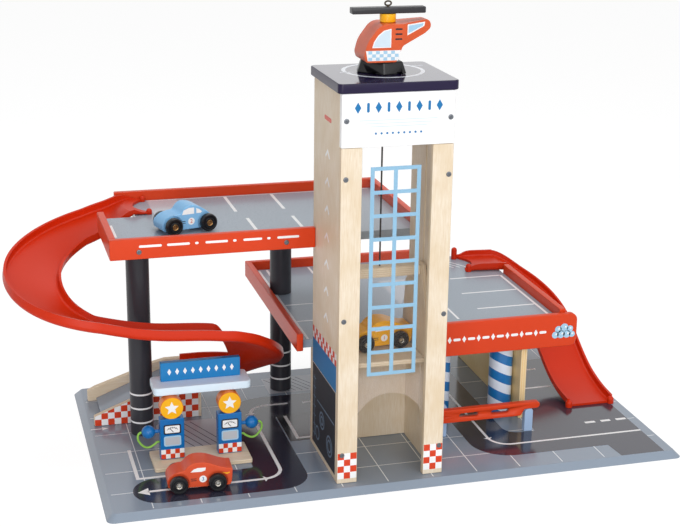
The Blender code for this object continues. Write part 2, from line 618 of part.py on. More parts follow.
def make_lift():
    cheek0, cheek1 = IN0 + PLAY, IN1 - PLAY               # outer faces of the cheeks
    top = LOWER_Z
    bottom = top - PLATFORM_T
    bar_top = top + CAGE_H
    box("lift_platform", cheek0 + CHEEK_T + GAP, cheek1 - CHEEK_T - GAP, PLATFORM_FRONT, PLATFORM_BACK,
        bottom, top, "birch", 0.5)
    side = [(PLATFORM_FRONT, bottom), (PLATFORM_BACK, bottom), (PLATFORM_BACK, top + 26), (-67.0, top + 72),
            (CROSSBAR_Y1, bar_top), (CROSSBAR_Y0, bar_top), (-140.0, top + 61), (PLATFORM_FRONT, top + 46)]
    for name, lo, hi, sign in (("lift_left_cheek", cheek0, cheek0 + CHEEK_T, -1),
                               ("lift_right_cheek", cheek1 - CHEEK_T, cheek1, 1)):
        cheek = prism(name, side, 'X', lo, hi, "birch", 0.5)
        outer = lo if sign < 0 else hi
        reach = PLAY + GROOVE_DEPTH - GROOVE_PLAY
        t0, t1 = sorted((outer - sign * 2.0, outer + sign * reach))
        tongue = box(name + "_tongue", t0, t1, GUIDE_Y - GROOVE_W / 2 + GROOVE_PLAY,
                     GUIDE_Y + GROOVE_W / 2 - GROOVE_PLAY, top + 34, top + 96, None, cutter=True)
        apply_boolean(cheek, tongue, 'UNION')
    box("lift_crossbar", cheek0 + CHEEK_T + GAP, cheek1 - CHEEK_T - GAP, CROSSBAR_Y0, CROSSBAR_Y1,
        bar_top - CROSSBAR_H, bar_top, "birch", 0.5)
    cord_y = WINCH_Y - DRUM_R - CORD_R - GAP
    lathe("lift_cord", plain_rod(CORD_R, bar_top + GAP, WINCH_Z), (TOWER_X, cord_y, 0), 'Z', "black", 10)


def make_winch():
    out = TX1 + GAP
    profile = [(0, IN0 - 3.5), (AXLE_R, IN0 - 3.5), (AXLE_R, TOWER_X - 10), (DRUM_R, TOWER_X - 10),
               (DRUM_R, TOWER_X + 10), (AXLE_R, TOWER_X + 10), (AXLE_R, out), (CRANK_R, out),
               (CRANK_R, out + 4), (CRANK_R - 1, out + 5), (0, out + 5)]
    winch = lathe("winch_crank", profile, (0, WINCH_Y, WINCH_Z), 'X', "red", 32, origin=(TOWER_X, WINCH_Y, WINCH_Z))
    grip = lathe("winch_grip", rod_profile(4.0, out + 3, out + 13.5, 1.0), (0, WINCH_Y, WINCH_Z + 10), 'X', None, 24,
                 cutter=True)
    apply_boolean(winch, grip, 'UNION')


# Helicopter

def make_helicopter():
    z0 = ROOF_TOP + GAP
    skid_top = z0 + SKID_H
    block = prism_bm([(HELI_X + a, HELI_Y + b) for a, b in SKID_PLAN], 'Z', z0, skid_top)
    for v in block.verts:
        if v.co.z > (z0 + skid_top) / 2:
            v.co.x = HELI_X + SKID_MIDDLE + (v.co.x - HELI_X - SKID_MIDDLE) * SKID_TOP_SHARE
            v.co.y = HELI_Y + (v.co.y - HELI_Y) * SKID_TOP_SHARE
    skid = finish("heli_skid", block, "black", 1.5, 2)
    for k, (x0, x1, y0, y1) in enumerate(SKID_GROOVES):
        groove = box("skid_groove_%d" % k, HELI_X + x0, HELI_X + x1, HELI_Y + y0, HELI_Y + y1, z0 - 1,
                     z0 + SKID_GROOVE_H, None, cutter=True)
        apply_boolean(skid, groove, 'DIFFERENCE')
    b = skid_top + GAP
    hub_z = b + 41.2
    side = [(-45.5, b), (-13.0, b), (-9.5, b + 2.5), (-4.2, b + 15), (-0.7, b + 18), (12.5, b + 23.4), (23.9, b + 27.4),
            (31.0, b + 32), (32.8, b + 38), (30.6, b + 42.4), (24.8, b + 44.6), (11.8, b + 43.8), (-4.0, hub_z),
            (-30.0, hub_z), (-34.0, b + 38), (-38.5, b + 33.5), (-43.5, b + 23), (-46.8, b + 12), (-48.0, b + 5)]
    bm = prism_bm(side, 'Y', -HELI_T / 2, HELI_T / 2)
    taper_x = -5.0
    geom = bm.verts[:] + bm.edges[:] + bm.faces[:]
    bmesh.ops.bisect_plane(bm, geom=geom, plane_co=(taper_x, 0, 0), plane_no=(1, 0, 0), dist=0.0001)
    for v in bm.verts:
        if v.co.x > taper_x:
            f = min(1.0, (v.co.x - taper_x) / (32.8 - taper_x))
            half = HELI_T / 2 + f * (HELI_TAIL_T - HELI_T) / 2
            v.co.y = math.copysign(half, v.co.y)
        v.co.y += HELI_Y
    finish("heli_body", bm, "red", 1.6, 2)
    hub = lathe("heli_hub", rod_profile(HUB_R, hub_z + GAP, hub_z + GAP + HUB_H), (HELI_X, HELI_Y, 0), 'Z', "yellow", 32)
    top = hub_z + GAP + HUB_H
    bore(hub, "hub_bore", PIN_R + RUN, top - 6, top + 1, (HELI_X, HELI_Y, 0), 'Z', 24)
    rz = top + GAP
    rotor = box("heli_rotor", HELI_X - ROTOR_L / 2, HELI_X + ROTOR_L / 2, HELI_Y - ROTOR_W / 2, HELI_Y + ROTOR_W / 2,
                rz, rz + ROTOR_H, "charcoal", 0.8, origin=(HELI_X, HELI_Y, rz))
    bore(rotor, "rotor_bore", PIN_R + RUN, rz - 1, rz + ROTOR_H + 1, (HELI_X, HELI_Y, 0), 'Z', 24)
    eye_z = rz + ROTOR_H + GAP + 3.4
    eye = bmesh.new()
    ring = []
    for i in range(20):
        t = 2 * math.pi * i / 20
        ring.append([eye.verts.new((HELI_X + math.cos(t) * (3.6 + math.cos(q)), HELI_Y + math.sin(q),
                                    eye_z + math.sin(t) * (2.4 + math.cos(q)))) for q in
                     [2 * math.pi * k / 8 for k in range(8)]])
    for i in range(20):
        for k in range(8):
            one, two = ring[i], ring[(i + 1) % 20]
            eye.faces.new((one[k], one[(k + 1) % 8], two[(k + 1) % 8], two[k]))
    pin = finish("heli_eye_pin", eye, "steel")
    shaft = lathe("eye_shaft", plain_rod(PIN_R, top - 5.5, eye_z - 2.2), (HELI_X, HELI_Y, 0), 'Z', None, 24, cutter=True)
    apply_boolean(pin, shaft, 'UNION')


# Fuel pumps

def make_pumps():
    x0, x1, y0, y1 = ISLAND
    top = FLOOR + ISLAND_T
    prism("pump_island", rounded_rect(x0, x1, y0, y1, 2.0), 'Z', FLOOR, top, "birch", 0.6)
    base = top + GAP
    head = base + PUMP_H
    for name, cx, sign in (("left", PUMP_X[0], -1), ("right", PUMP_X[1], 1)):
        pump = box("pump_" + name, cx - PUMP_W / 2, cx + PUMP_W / 2, PUMP_FRONT, PUMP_FRONT + PUMP_D, base, head,
                   "blue", 0.8)
        bore(pump, "pump_bore_" + name, PEG_R + RUN, -1.0, 6.0 + GAP, (cx + sign * PUMP_W / 2 - (5.3 if sign > 0 else 0),
             NOZZLE_Y, NOZZLE_Z), 'X', 24)
        disc = lathe("pump_disc_" + name, rod_profile(DISC_R, PUMP_FRONT, PUMP_FRONT + DISC_T, 0.8),
                     (cx, 0, head + DISC_R - 0.6), 'Y', None, 40, cutter=True)
        apply_boolean(pump, disc, 'UNION')
        side = cx + sign * PUMP_W / 2
        ball_x = side + sign * NOZZLE_OUT
        arcs = [(NOZZLE_R * math.sin(math.pi * i / 9), -NOZZLE_R * math.cos(math.pi * i / 9)) for i in range(10)]
        arcs[0], arcs[-1] = (0.0, -NOZZLE_R), (0.0, NOZZLE_R)
        ball = lathe("nozzle_" + name, arcs, (ball_x, NOZZLE_Y, NOZZLE_Z), 'X', "blue", 20,
                     origin=(ball_x, NOZZLE_Y, NOZZLE_Z))
        p0, p1 = sorted((side - sign * 5.5, ball_x))
        peg = lathe("peg_" + name, plain_rod(PEG_R, p0, p1), (0, NOZZLE_Y, NOZZLE_Z), 'X', None, 20, cutter=True)
        apply_boolean(ball, peg, 'UNION')
        end = NOZZLE_R + GAP
        route = [(ball_x + sign * end, NOZZLE_Z), (ball_x + sign * (end + 1.6), NOZZLE_Z - 0.2),
                 (ball_x + sign * (end + 4.0), NOZZLE_Z - 3.5), (ball_x + sign * (end + 3.6), NOZZLE_Z - 10),
                 (ball_x + sign * 6.5, NOZZLE_Z - 17.5), (ball_x, NOZZLE_Z - 19.8),
                 (ball_x - sign * 7.0, NOZZLE_Z - 16.5), (side + sign * 3.5, NOZZLE_Z - 14.0)]
        pts = [(x, NOZZLE_Y, z) for x, z in smooth(route, 3)]
        pts += [(side + sign * 1.8, NOZZLE_Y, NOZZLE_Z - 13.7), (side + sign * GAP, NOZZLE_Y, NOZZLE_Z - 13.7)]
        finish("hose_" + name, tube_bm(pts, HOSE_R, 8), "green")
    under = head + 2 * DISC_R - 0.6 + GAP
    cx0, cx1, cy0, cy1 = CANOPY
    canopy = prism("pump_canopy", rounded_rect(cx0, cx1, cy0, cy1, 6.0), 'Z', under, under + CANOPY_T, "pale_blue", 0.8)
    sx0, sx1, sy0, sy1, sh = SIGN_BLOCK
    sign_block = box("pump_sign", sx0, sx1, sy0, sy1, under + CANOPY_T - 1.0, under + CANOPY_T + sh, None, 0.6,
                     cutter=True)
    apply_boolean(canopy, sign_block, 'UNION')


# Car wash and barrier

def make_wash():
    box("wash_wall", WASH_WALL_X0, WASH_WALL_X0 + WASH_WALL_T, -48.0, 178.0, FLOOR, LOWER_BOTTOM - GAP, "birch", 0.5)
    z0, z1 = FLOOR + GAP, LOWER_BOTTOM - 2 * GAP
    pin = ROLLER_PIN_R
    for name, x in zip(("roller_left", "roller_right"), ROLLER_X):
        profile = [(0, BASE_T - ROLLER_PIN_L), (pin, BASE_T - ROLLER_PIN_L), (pin, z0), (ROLLER_R - 1, z0),
                   (ROLLER_R, z0 + 1), (ROLLER_R, z1 - 1), (ROLLER_R - 1, z1), (pin, z1),
                   (pin, LOWER_BOTTOM + ROLLER_PIN_L), (0, LOWER_BOTTOM + ROLLER_PIN_L)]
        lathe(name, profile, (x, ROLLER_Y, 0), 'Z', "blue", 36, origin=(x, ROLLER_Y, z0))


def make_barrier():
    y0, y1 = BOOM_Y - BOOM_T / 2, BOOM_Y + BOOM_T / 2
    tip = 6.0
    outline = ([(60.0, BOOM_Z0)] + [(178.0, BOOM_Z0), (183.0, BOOM_Z1 - 8.5)]
               + [(198.0, BOOM_Z1 - 8.5)] + arc(199.0, BOOM_Z1 - 4.25, 4.25, -80, 90, 6) + [(60.0, BOOM_Z1)])
    boom = prism("boom", outline, 'Y', y0, y1, "red", 0.6, origin=(BOOM_PIVOT_X, BOOM_Y, BOOM_PIVOT_Z))
    for i, (sx0, sx1) in enumerate(((96.0, 122.0), (138.0, 163.0))):
        slot = prism("boom_slot_%d" % i, rounded_rect(sx0, sx1, BOOM_PIVOT_Z - 3.0, BOOM_PIVOT_Z + 3.0, 2.9), 'Y',
                     y0 - 1, y1 + 1, None, cutter=True)
        apply_boolean(boom, slot, 'DIFFERENCE')
    bore(boom, "boom_bore", 2.5 + RUN, y0 - 1, y1 + 1, (BOOM_PIVOT_X, 0, BOOM_PIVOT_Z), 'Y', 32)
    rest_top = BOOM_Z1 - 8.5 - GAP
    rest = [(183.5, FLOOR), (194.5, FLOOR)] + arc(190.5, rest_top - 4, 4, 0, 90, 4) + arc(187.5, rest_top - 4, 4, 90, 180, 4)
    prism("boom_rest", rest, 'Y', y0, y1, "pale_blue", 0.4)
    post = [(59.0, FLOOR), (83.0, FLOOR)] + arc(BOOM_PIVOT_X + 5, 45.0, 8, 0, 90, 4) + arc(BOOM_PIVOT_X - 3, 45.0, 8, 90, 180, 4)
    back = prism("boom_post", post, 'Y', y1 + GAP, y1 + GAP + BOOM_T, "pale_blue", 0.4)
    pin = lathe("boom_pin", plain_rod(2.5, y0 - 1.0, y1 + GAP + 2), (BOOM_PIVOT_X, 0, BOOM_PIVOT_Z), 'Y', None, 32,
                cutter=True)
    apply_boolean(back, pin, 'UNION')


# Cars

def make_car(name, cx, cy, ground, turn, mat, line, tail):
    """One car on its wheels. turn is in degrees about the vertical; the nose points along local -X."""
    z = ground + GAP
    place = Matrix.Translation((cx, cy, z)) @ Matrix.Rotation(math.radians(turn), 4, 'Z')
    half = CAR_BODY_W / 2
    outline = [(-31.5, 4.0), (tail, 4.0)] + list(reversed(smooth(line, 2)))
    bm = prism_bm(outline, 'Y', -half, half)
    bmesh.ops.transform(bm, matrix=place, verts=bm.verts)
    body = finish(name + "_body", bm, mat, 2.2, 2)
    for key, x in (("front", -CAR_WHEELBASE / 2), ("rear", CAR_WHEELBASE / 2)):
        tool = lathe_bm(plain_rod(CAR_AXLE_R + RUN, -half - 3, half + 3), (x, 0, WHEEL_R), 'Y', 24)
        bmesh.ops.transform(tool, matrix=place, verts=tool.verts)
        apply_boolean(body, finish(name + "_bore_" + key, tool, None, cutter=True), 'DIFFERENCE')
        a = half + WHEEL_GAP
        b = a + WHEEL_T
        out = [(CAR_AXLE_R, a), (WHEEL_R, a), (WHEEL_R, b - 1.5), (WHEEL_R - 1.5, b), (4.6, b),
               (3.0, b + 0.7), (0.0, b + 0.9)]
        profile = [(r, -q) for r, q in reversed(out)] + out
        wheels = lathe_bm(profile, (x, 0, WHEEL_R), 'Y', 24)
        bmesh.ops.transform(wheels, matrix=place, verts=wheels.verts)
        finish(name + "_wheels_" + key, wheels, "black", origin=place @ Vector((x, 0, WHEEL_R)))


make_base()
make_pillars()
make_upper_deck()
make_lower_deck()
make_left_slide()
make_right_slide()
make_ramp()
make_tower()
make_roof()
make_lift()
make_winch()
make_helicopter()
make_pumps()
make_wash()
make_barrier()
make_car("car_red", -240.6, -136.0, BASE_T, -3.5, "red", COUPE_LINE, 36.5)
make_car("car_blue", -226.0, -2.4, UPPER_Z, 15.0, "sky", ROUND_LINE, 33.5)
make_car("car_yellow", -14.5, -94.0, LOWER_Z, 6.8, "amber", COUPE_LINE, 36.5)
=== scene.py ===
import math
import bpy
from mathutils import Matrix, Vector


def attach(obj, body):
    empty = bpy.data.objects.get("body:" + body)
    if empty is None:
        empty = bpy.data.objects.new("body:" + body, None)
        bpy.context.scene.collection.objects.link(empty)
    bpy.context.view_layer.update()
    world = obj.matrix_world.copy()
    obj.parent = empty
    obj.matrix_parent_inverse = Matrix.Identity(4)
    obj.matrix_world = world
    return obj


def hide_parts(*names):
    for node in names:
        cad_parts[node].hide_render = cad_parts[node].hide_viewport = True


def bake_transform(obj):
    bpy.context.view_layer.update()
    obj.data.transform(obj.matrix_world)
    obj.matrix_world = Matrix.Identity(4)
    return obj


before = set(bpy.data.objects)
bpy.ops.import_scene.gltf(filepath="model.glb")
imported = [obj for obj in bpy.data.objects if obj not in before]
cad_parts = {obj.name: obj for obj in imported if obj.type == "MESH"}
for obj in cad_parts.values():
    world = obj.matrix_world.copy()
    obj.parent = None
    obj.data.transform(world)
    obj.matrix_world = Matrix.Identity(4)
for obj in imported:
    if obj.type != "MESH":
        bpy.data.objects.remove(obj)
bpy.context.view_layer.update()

MM = 0.001
SKIN = 0.05          # how far a printed layer reaches into the face it lies on

# How far a print stands up, by its place in the stack of inks
LOWEST, LOWER, UNDER, LOW, HALFWAY, MIDDLE, OVER, TOPMOST = 0.03, 0.045, 0.06, 0.08, 0.09, 0.10, 0.12, 0.16

# Places that follow the CAD frame
BASE_TOP = 8.0
LOWER_TOP = 144.0
UPPER_TOP = 275.0
ROOF_TOP = 474.0
TOWER_LEFT, TOWER_RIGHT, TOWER_FRONT = -84.0, 44.0, -173.0
TOWER_X = -20.0

BOTH_SIDES = ("near", -1), ("far", 1)   # the camera's side and the other, as a direction along Y


# Ways of making

def at(axis, a, b, along):
    """The point (a, b) of a flat drawing, at a distance along the axis it is drawn across."""
    return Vector({"X": (along, a, b), "Y": (a, along, b), "Z": (a, b, along)}[axis])


def only(*pieces):
    """Selects these pieces alone and makes the first one active."""
    bpy.ops.object.select_all(action="DESELECT")
    for piece in pieces:
        piece.select_set(True)
    bpy.context.view_layer.objects.active = pieces[0]


def flat_sheet(outline, axis, along, fill="NGON"):
    """A circle of as many corners as the outline has, moved onto the outline."""
    bpy.ops.object.select_all(action="DESELECT")
    bpy.ops.mesh.primitive_circle_add(vertices=len(outline), fill_type=fill)
    piece = bpy.context.object
    for corner, (a, b) in zip(piece.data.vertices, outline):
        corner.co = at(axis, a, b, along) * MM
    return piece


def edit_all(piece, *steps):
    """Runs each step on the whole mesh in edit mode."""
    only(piece)
    bpy.ops.object.mode_set(mode="EDIT")
    for step in steps:
        bpy.ops.mesh.select_all(action="SELECT")
        step()
    bpy.ops.object.mode_set(mode="OBJECT")


def weld():
    bpy.ops.mesh.remove_doubles(threshold=0.001 * MM)


def drop_loose():
    bpy.ops.mesh.delete_loose(use_verts=True, use_edges=True, use_faces=False)


def face_out():
    bpy.ops.mesh.normals_make_consistent(inside=False)


def thicken(piece, axis, by):
    """Extrudes every flat face of the piece along the axis and turns the faces outwards."""
    move = {"value": at(axis, 0, 0, by) * MM}
    edit_all(piece, lambda: bpy.ops.mesh.extrude_region_move(TRANSFORM_OT_translate=move), face_out)


def modify(piece, kind, **settings):
    only(piece)
    modifier = piece.modifiers.new(kind.lower(), kind)
    for key, value in settings.items():
        setattr(modifier, key, value)
    bpy.ops.object.modifier_apply(modifier=modifier.name)


def smooth_off(piece, angle=40.0):
    """Shades round edges smooth and keeps flat faces flat."""
    only(piece)
    bpy.ops.object.shade_smooth_by_angle(angle=math.radians(angle))
    modify(piece, "WEIGHTED_NORMAL", keep_sharp=True)


def sand(piece, width, steps=3, angle=35.0):
    """Rounds the sharp edges, as sandpaper or a mould does."""
    modify(piece, "BEVEL", width=width * MM, segments=steps, limit_method="ANGLE",
           angle_limit=math.radians(angle))


def board(name, outline, axis, low, high, rounding=0.6, steps=3):
    piece = flat_sheet(outline, axis, low)
    piece.name = name
    thicken(piece, axis, high - low)
    if rounding:
        sand(piece, rounding, steps)
    smooth_off(piece)
    return piece


def joined(name, pieces):
    only(*pieces)
    if len(pieces) > 1:
        bpy.ops.object.join()
    bpy.context.object.name = name
    return bpy.context.object


def printed(name, outlines, axis, level, out, thick):
    """A layer of printed ink: flat outlines on one face, joined into one thin closed piece."""
    layer = joined(name, [flat_sheet(outline, axis, level - out * SKIN) for outline in outlines])
    thicken(layer, axis, out * (thick + SKIN))
    return layer


def turned(name, profile, axis, centre, steps=48):
    """Turns a closed profile of (radius, distance along the axis) round the axis."""
    piece = flat_sheet([(radius, 0.0) for radius, along in profile], axis, 0.0, "NOTHING")
    piece.name = name
    for corner, (radius, along) in zip(piece.data.vertices, profile):
        corner.co = (at(axis, radius, 0.0, along) + Vector(centre)) * MM
    spin = {"steps": steps, "angle": 2 * math.pi, "center": Vector(centre) * MM, "axis": at(axis, 0, 0, 1)}
    edit_all(piece, lambda: bpy.ops.mesh.spin(**spin), weld, drop_loose, face_out)
    smooth_off(piece)
    return piece


def moved(piece, place):
    """Puts a piece made round the origin at its place, and keeps that place in its mesh."""
    piece.matrix_world = place
    only(piece)
    bpy.ops.object.transform_apply(location=True, rotation=True, scale=True)
    return piece


def copied(piece, name, place):
    twin = piece.copy()
    twin.data = piece.data.copy()
    twin.name = name
    bpy.context.scene.collection.objects.link(twin)
    return moved(twin, place)


def dress(piece, body, material, slot, *nodes):
    """Gives a piece its finish and its place in the frame."""
    piece.data.materials.clear()
    piece.data.materials.append(material)
    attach(piece, body)
    if nodes:
        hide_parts(*nodes)
    return piece


def ink(name, outlines, axis, level, out, thick, material, slot, body="garage"):
    """Prints a layer on a face."""
    return dress(printed(name, outlines, axis, level, out, thick), body, material, slot)


def front_ink(name, outlines, y, material, slot, thick=MIDDLE):
    """A print on a face that looks to the front."""
    ink(name, outlines, "Y", y, -1, thick, material, slot)


def side_ink(name, outlines, material, thick=OVER, x=TOWER_LEFT):
    """A print on the tower's left side."""
    ink(name, outlines, "X", x, -1, thick, material, "birch_ply")


def top_ink(name, outlines, z, material, thick=OVER):
    """A print on a board that lies level."""
    ink(name, outlines, "Z", z, 1, thick, material, "printed_board")


def refinish(material, *names):
    """Gives CAD nodes a better finish, with their doubled corners welded for smooth shading."""
    for name in names:
        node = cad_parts[name]
        node.data.materials.clear()
        node.data.materials.append(material)
        node.data.shade_smooth()
        node.modifiers.new("welded", "WELD").merge_threshold = 0.001 * MM
        node.modifiers.new("even shading", "WEIGHTED_NORMAL").keep_sharp = False


# Outlines

def box_outline(a0, a1, b0, b1):
    return [(a0, b0), (a1, b0), (a1, b1), (a0, b1)]


def circle_outline(a, b, radius, corners=48):
    turns = [2 * math.pi * k / corners for k in range(corners)]
    return [(a + radius * math.cos(t), b + radius * math.sin(t)) for t in turns]


def rounded(corners, steps):
    """An outline whose corners (a, b, radius) are rounded."""
    out = []
    for i, (a, b, radius) in enumerate(corners):
        here = Vector((a, b))
        before = Vector(corners[i - 1][:2]) - here
        after = Vector(corners[(i + 1) % len(corners)][:2]) - here
        if not radius:
            out.append((a, b))
            continue
        half = before.angle(after) / 2
        back = min(radius / math.tan(half), before.length / 2, after.length / 2)
        centre = here + (before.normalized() + after.normalized()).normalized() * back / math.cos(half)
        start, end = here + before.normalized() * back - centre, here + after.normalized() * back - centre
        turn = start.angle_signed(end)
        for k in range(steps + 1):
            t = -turn * k / steps
            out.append((centre.x + start.x * math.cos(t) - start.y * math.sin(t),
                        centre.y + start.x * math.sin(t) + start.y * math.cos(t)))
    return out


def rounded_box(a0, a1, b0, b1, radius, steps=6):
    return rounded([(a0, b0, radius), (a1, b0, radius), (a1, b1, radius), (a0, b1, radius)], steps)


def stroke(points, width):
    """The outline of a line of that width along the points, with mitred corners."""
    pts = [Vector(p) for p in points]
    left, right = [], []
    for i, p in enumerate(pts):
        one = (p - pts[i - 1]).normalized() if i else (pts[1] - p).normalized()
        two = (pts[i + 1] - p).normalized() if i + 1 < len(pts) else one
        bisector = (one + two).normalized()
        side = Vector((-bisector.y, bisector.x)) * width / 2 / max(0.3, bisector.dot(one))
        left.append(tuple(p + side))
        right.append(tuple(p - side))
    return left + right[::-1]


def ruled(width, *lines):
    """Strokes of one width."""
    return [stroke(line, width) for line in lines]


def bend(a, b, radius, start, end, steps=10):
    turns = [math.radians(start + (end - start) * k / steps) for k in range(steps + 1)]
    return [(a + radius * math.cos(t), b + radius * math.sin(t)) for t in turns]


def ring(a, b, radius, width):
    """A printed ring, as two halves."""
    return [stroke(bend(a, b, radius, 0, 180, 30), width), stroke(bend(a, b, radius, 180, 360, 30), width)]


def squares(a0, b0, cols, rows, side_a, side_b, phase=0):
    """Every other square of a checkerboard."""
    return [box_outline(a0 + i * side_a, a0 + (i + 1) * side_a, b0 + j * side_b, b0 + (j + 1) * side_b)
            for i in range(cols) for j in range(rows) if (i + j + phase) % 2 == 0]


def star(a, b, outer, inner):
    return [(a + (outer if k % 2 == 0 else inner) * math.sin(math.pi * k / 5),
             b + (outer if k % 2 == 0 else inner) * math.cos(math.pi * k / 5)) for k in range(10)]


def curve_through(points, steps):
    """Catmull-Rom curve through points of any dimension, as the CAD source draws it."""
    out = []
    for i in range(len(points) - 1):
        p1, p2 = points[i], points[i + 1]
        p0, p3 = points[max(0, i - 1)], points[min(len(points) - 1, i + 2)]
        for k in range(steps):
            t = k / steps
            out.append(tuple(0.5 * (2 * b + (c - a) * t + (2 * a - 5 * b + 4 * c - d) * t * t
                                    + (3 * b - a - 3 * c + d) * t * t * t)
                             for a, b, c, d in zip(p0, p1, p2, p3)))
    out.append(tuple(points[-1]))
    return out


# Finishes

def colour(code):
    """An sRGB hex colour as the linear colour that a shader takes."""
    channels = [int(code[k:k + 2], 16) / 255 for k in (1, 3, 5)]
    return tuple(c / 12.92 if c <= 0.04045 else ((c + 0.055) / 1.055) ** 2.4 for c in channels) + (1.0,)


def shaded(code, factor):
    return tuple(min(1.0, c * factor) for c in colour(code)[:3]) + (1.0,)


def new_material(name):
    material = bpy.data.materials.new(name)
    material.use_nodes = True
    tree = material.node_tree
    return material, tree, tree.nodes["Principled BSDF"]


def feed(node, socket, value):
    """Gives a node's input its value, or the output of another node."""
    if isinstance(value, bpy.types.NodeSocket):
        node.id_data.links.new(value, node.inputs[socket])
    else:
        node.inputs[socket].default_value = value


def add(tree, kind, inputs=None, **settings):
    """Adds a node with its settings and what feeds its inputs."""
    node = tree.nodes.new(kind)
    for key, value in settings.items():
        setattr(node, key, value)
    for socket, value in (inputs or {}).items():
        feed(node, socket, value)
    return node


def calc(tree, operation, *inputs):
    """The result of a maths node."""
    return add(tree, "ShaderNodeMath", dict(enumerate(inputs)), operation=operation).outputs["Value"]


def mix(tree, share, one, other):
    """A colour that goes from one to the other as the share goes from 0 to 1."""
    return add(tree, "ShaderNodeMix", {0: share, 6: one, 7: other}, data_type="RGBA").outputs[2]


def set_shader(shader, **values):
    for key, value in values.items():
        feed(shader, key.replace("_", " "), value)


def finish_coat(name, code, rough, mottle, depth, grain, bump, coat=0.0, shine=0.22, stretch=(1, 1, 1)):
    """A sprayed, printed or moulded colour. mottle and grain are the sizes in millimetres of its soft tone
    changes and of the fine texture that catches the light; depth is how far the tone varies, and shine how
    much of a clear lacquer's reflection is left on the colour."""
    material, tree, shader = new_material(name)
    place = add(tree, "ShaderNodeTexCoord").outputs["Object"]
    place = add(tree, "ShaderNodeMapping", {"Vector": place, "Scale": stretch}).outputs["Vector"]
    tone = add(tree, "ShaderNodeTexNoise", {"Vector": place, "Scale": 1000 / mottle, "Detail": 4.0})
    tint = mix(tree, tone.outputs["Fac"], shaded(code, 1 - depth), shaded(code, 1 + depth))
    fine = add(tree, "ShaderNodeTexNoise", {"Vector": place, "Scale": 1000 / grain, "Detail": 2.0})
    fine = fine.outputs["Fac"]
    dull = add(tree, "ShaderNodeMapRange",
               {"Value": fine, "To Min": rough * 0.8, "To Max": min(1.0, rough * 1.25)}).outputs["Result"]
    raised = add(tree, "ShaderNodeBump", {"Height": fine, "Strength": bump, "Distance": 0.0002})
    set_shader(shader, Base_Color=tint, Roughness=dull, Normal=raised.outputs["Normal"], IOR=1.5,
               Specular_IOR_Level=shine, Coat_Weight=coat, Coat_Roughness=0.12)
    return material


def birch_ply(name, thin, along, face="#EADDCA", dark="#DCC8AA", edge="#E8D2AE", glue="#B48A5C", ply=1.5):
    """Birch plywood under clear satin lacquer. thin is the axis through its thickness and along is the axis
    of its grain, as 0, 1 or 2: pale faces with short fine flecks, and edges banded by the cross layers."""
    material, tree, shader = new_material(name)
    source = add(tree, "ShaderNodeTexCoord").outputs
    scale = [620.0] * 3
    scale[along] = 60.0
    long_way = add(tree, "ShaderNodeMapping", {"Vector": source["Object"], "Scale": scale}).outputs["Vector"]
    streak = add(tree, "ShaderNodeTexNoise", {"Vector": long_way, "Scale": 1.0, "Detail": 4.0,
                                              "Roughness": 0.6, "Distortion": 0.3}).outputs["Fac"]
    broad = add(tree, "ShaderNodeTexNoise", {"Vector": source["Object"], "Scale": 22.0, "Detail": 2.0})
    both = calc(tree, "MULTIPLY", streak, broad.outputs["Fac"])
    amount = add(tree, "ShaderNodeMapRange", {"Value": both, "From Min": 0.14, "From Max": 0.42})
    veneer = mix(tree, amount.outputs["Result"], colour(dark), colour(face))
    layers = add(tree, "ShaderNodeSeparateXYZ", {"Vector": source["Object"]})
    cycle = calc(tree, "FRACT", calc(tree, "MULTIPLY", layers.outputs[thin], 1000 / (2 * ply)))
    end_grain = add(tree, "ShaderNodeValToRGB", {"Fac": cycle})
    ramp = end_grain.color_ramp
    ramp.elements[0].position, ramp.elements[0].color = 0.0, colour(edge)
    ramp.elements[1].position, ramp.elements[1].color = 0.45, colour(face)
    for position, tint in ((0.5, glue), (0.55, dark), (0.95, dark), (0.99, glue)):
        ramp.elements.new(position).color = colour(tint)
    facing = add(tree, "ShaderNodeSeparateXYZ", {"Vector": source["Normal"]})
    is_edge = calc(tree, "LESS_THAN", calc(tree, "ABSOLUTE", facing.outputs[thin]), 0.6)
    raised = add(tree, "ShaderNodeBump", {"Height": streak, "Strength": 0.08, "Distance": 0.0003})
    set_shader(shader, Base_Color=mix(tree, is_edge, veneer, end_grain.outputs["Color"]),
               Normal=raised.outputs["Normal"], Roughness=0.5, IOR=1.45)
    return material


# Screen print on lacquered board: flat inks with a satin gloss that mirrors what stands on them.
BOARD_GREY = finish_coat("screen_printed_board_grey", "#8794A4", 0.22, 60, 0.03, 1.2, 0.02, 0.25, shine=0.5)
DECK_GREY = finish_coat("screen_printed_deck_grey", "#97A3AF", 0.28, 60, 0.03, 1.2, 0.02, 0.15)
SLAB_LINE = finish_coat("slab_line_ink", "#E8EDF0", 0.25, 20, 0.03, 0.8, 0.02, 0.2)
ROAD_INK = finish_coat("road_ink_dark_navy", "#30303F", 0.14, 40, 0.04, 1.0, 0.02, 0.35, shine=0.5)
BAY_INK = finish_coat("bay_ink_black", "#1E1D24", 0.14, 40, 0.04, 1.0, 0.02, 0.35, shine=0.5)
BAY_GREY = finish_coat("bay_ink_dark_grey", "#464349", 0.16, 40, 0.04, 1.0, 0.02, 0.3, shine=0.5)
WHITE_INK = finish_coat("white_ink", "#F2F3F4", 0.3, 20, 0.02, 0.8, 0.02, 0.2)
PALE_ZONE = finish_coat("pale_zone_ink", "#BBBFC7", 0.25, 20, 0.03, 0.8, 0.02, 0.3)
DARK_HATCH = finish_coat("dark_hatch_ink", "#54545F", 0.25, 20, 0.03, 0.8, 0.02, 0.3)
RED_INK = finish_coat("checker_red_ink", "#D5401E", 0.35, 12, 0.05, 0.6, 0.03, 0.1)
BLUE_INK = finish_coat("sign_blue_ink", "#1F74AE", 0.4, 12, 0.04, 0.6, 0.03)
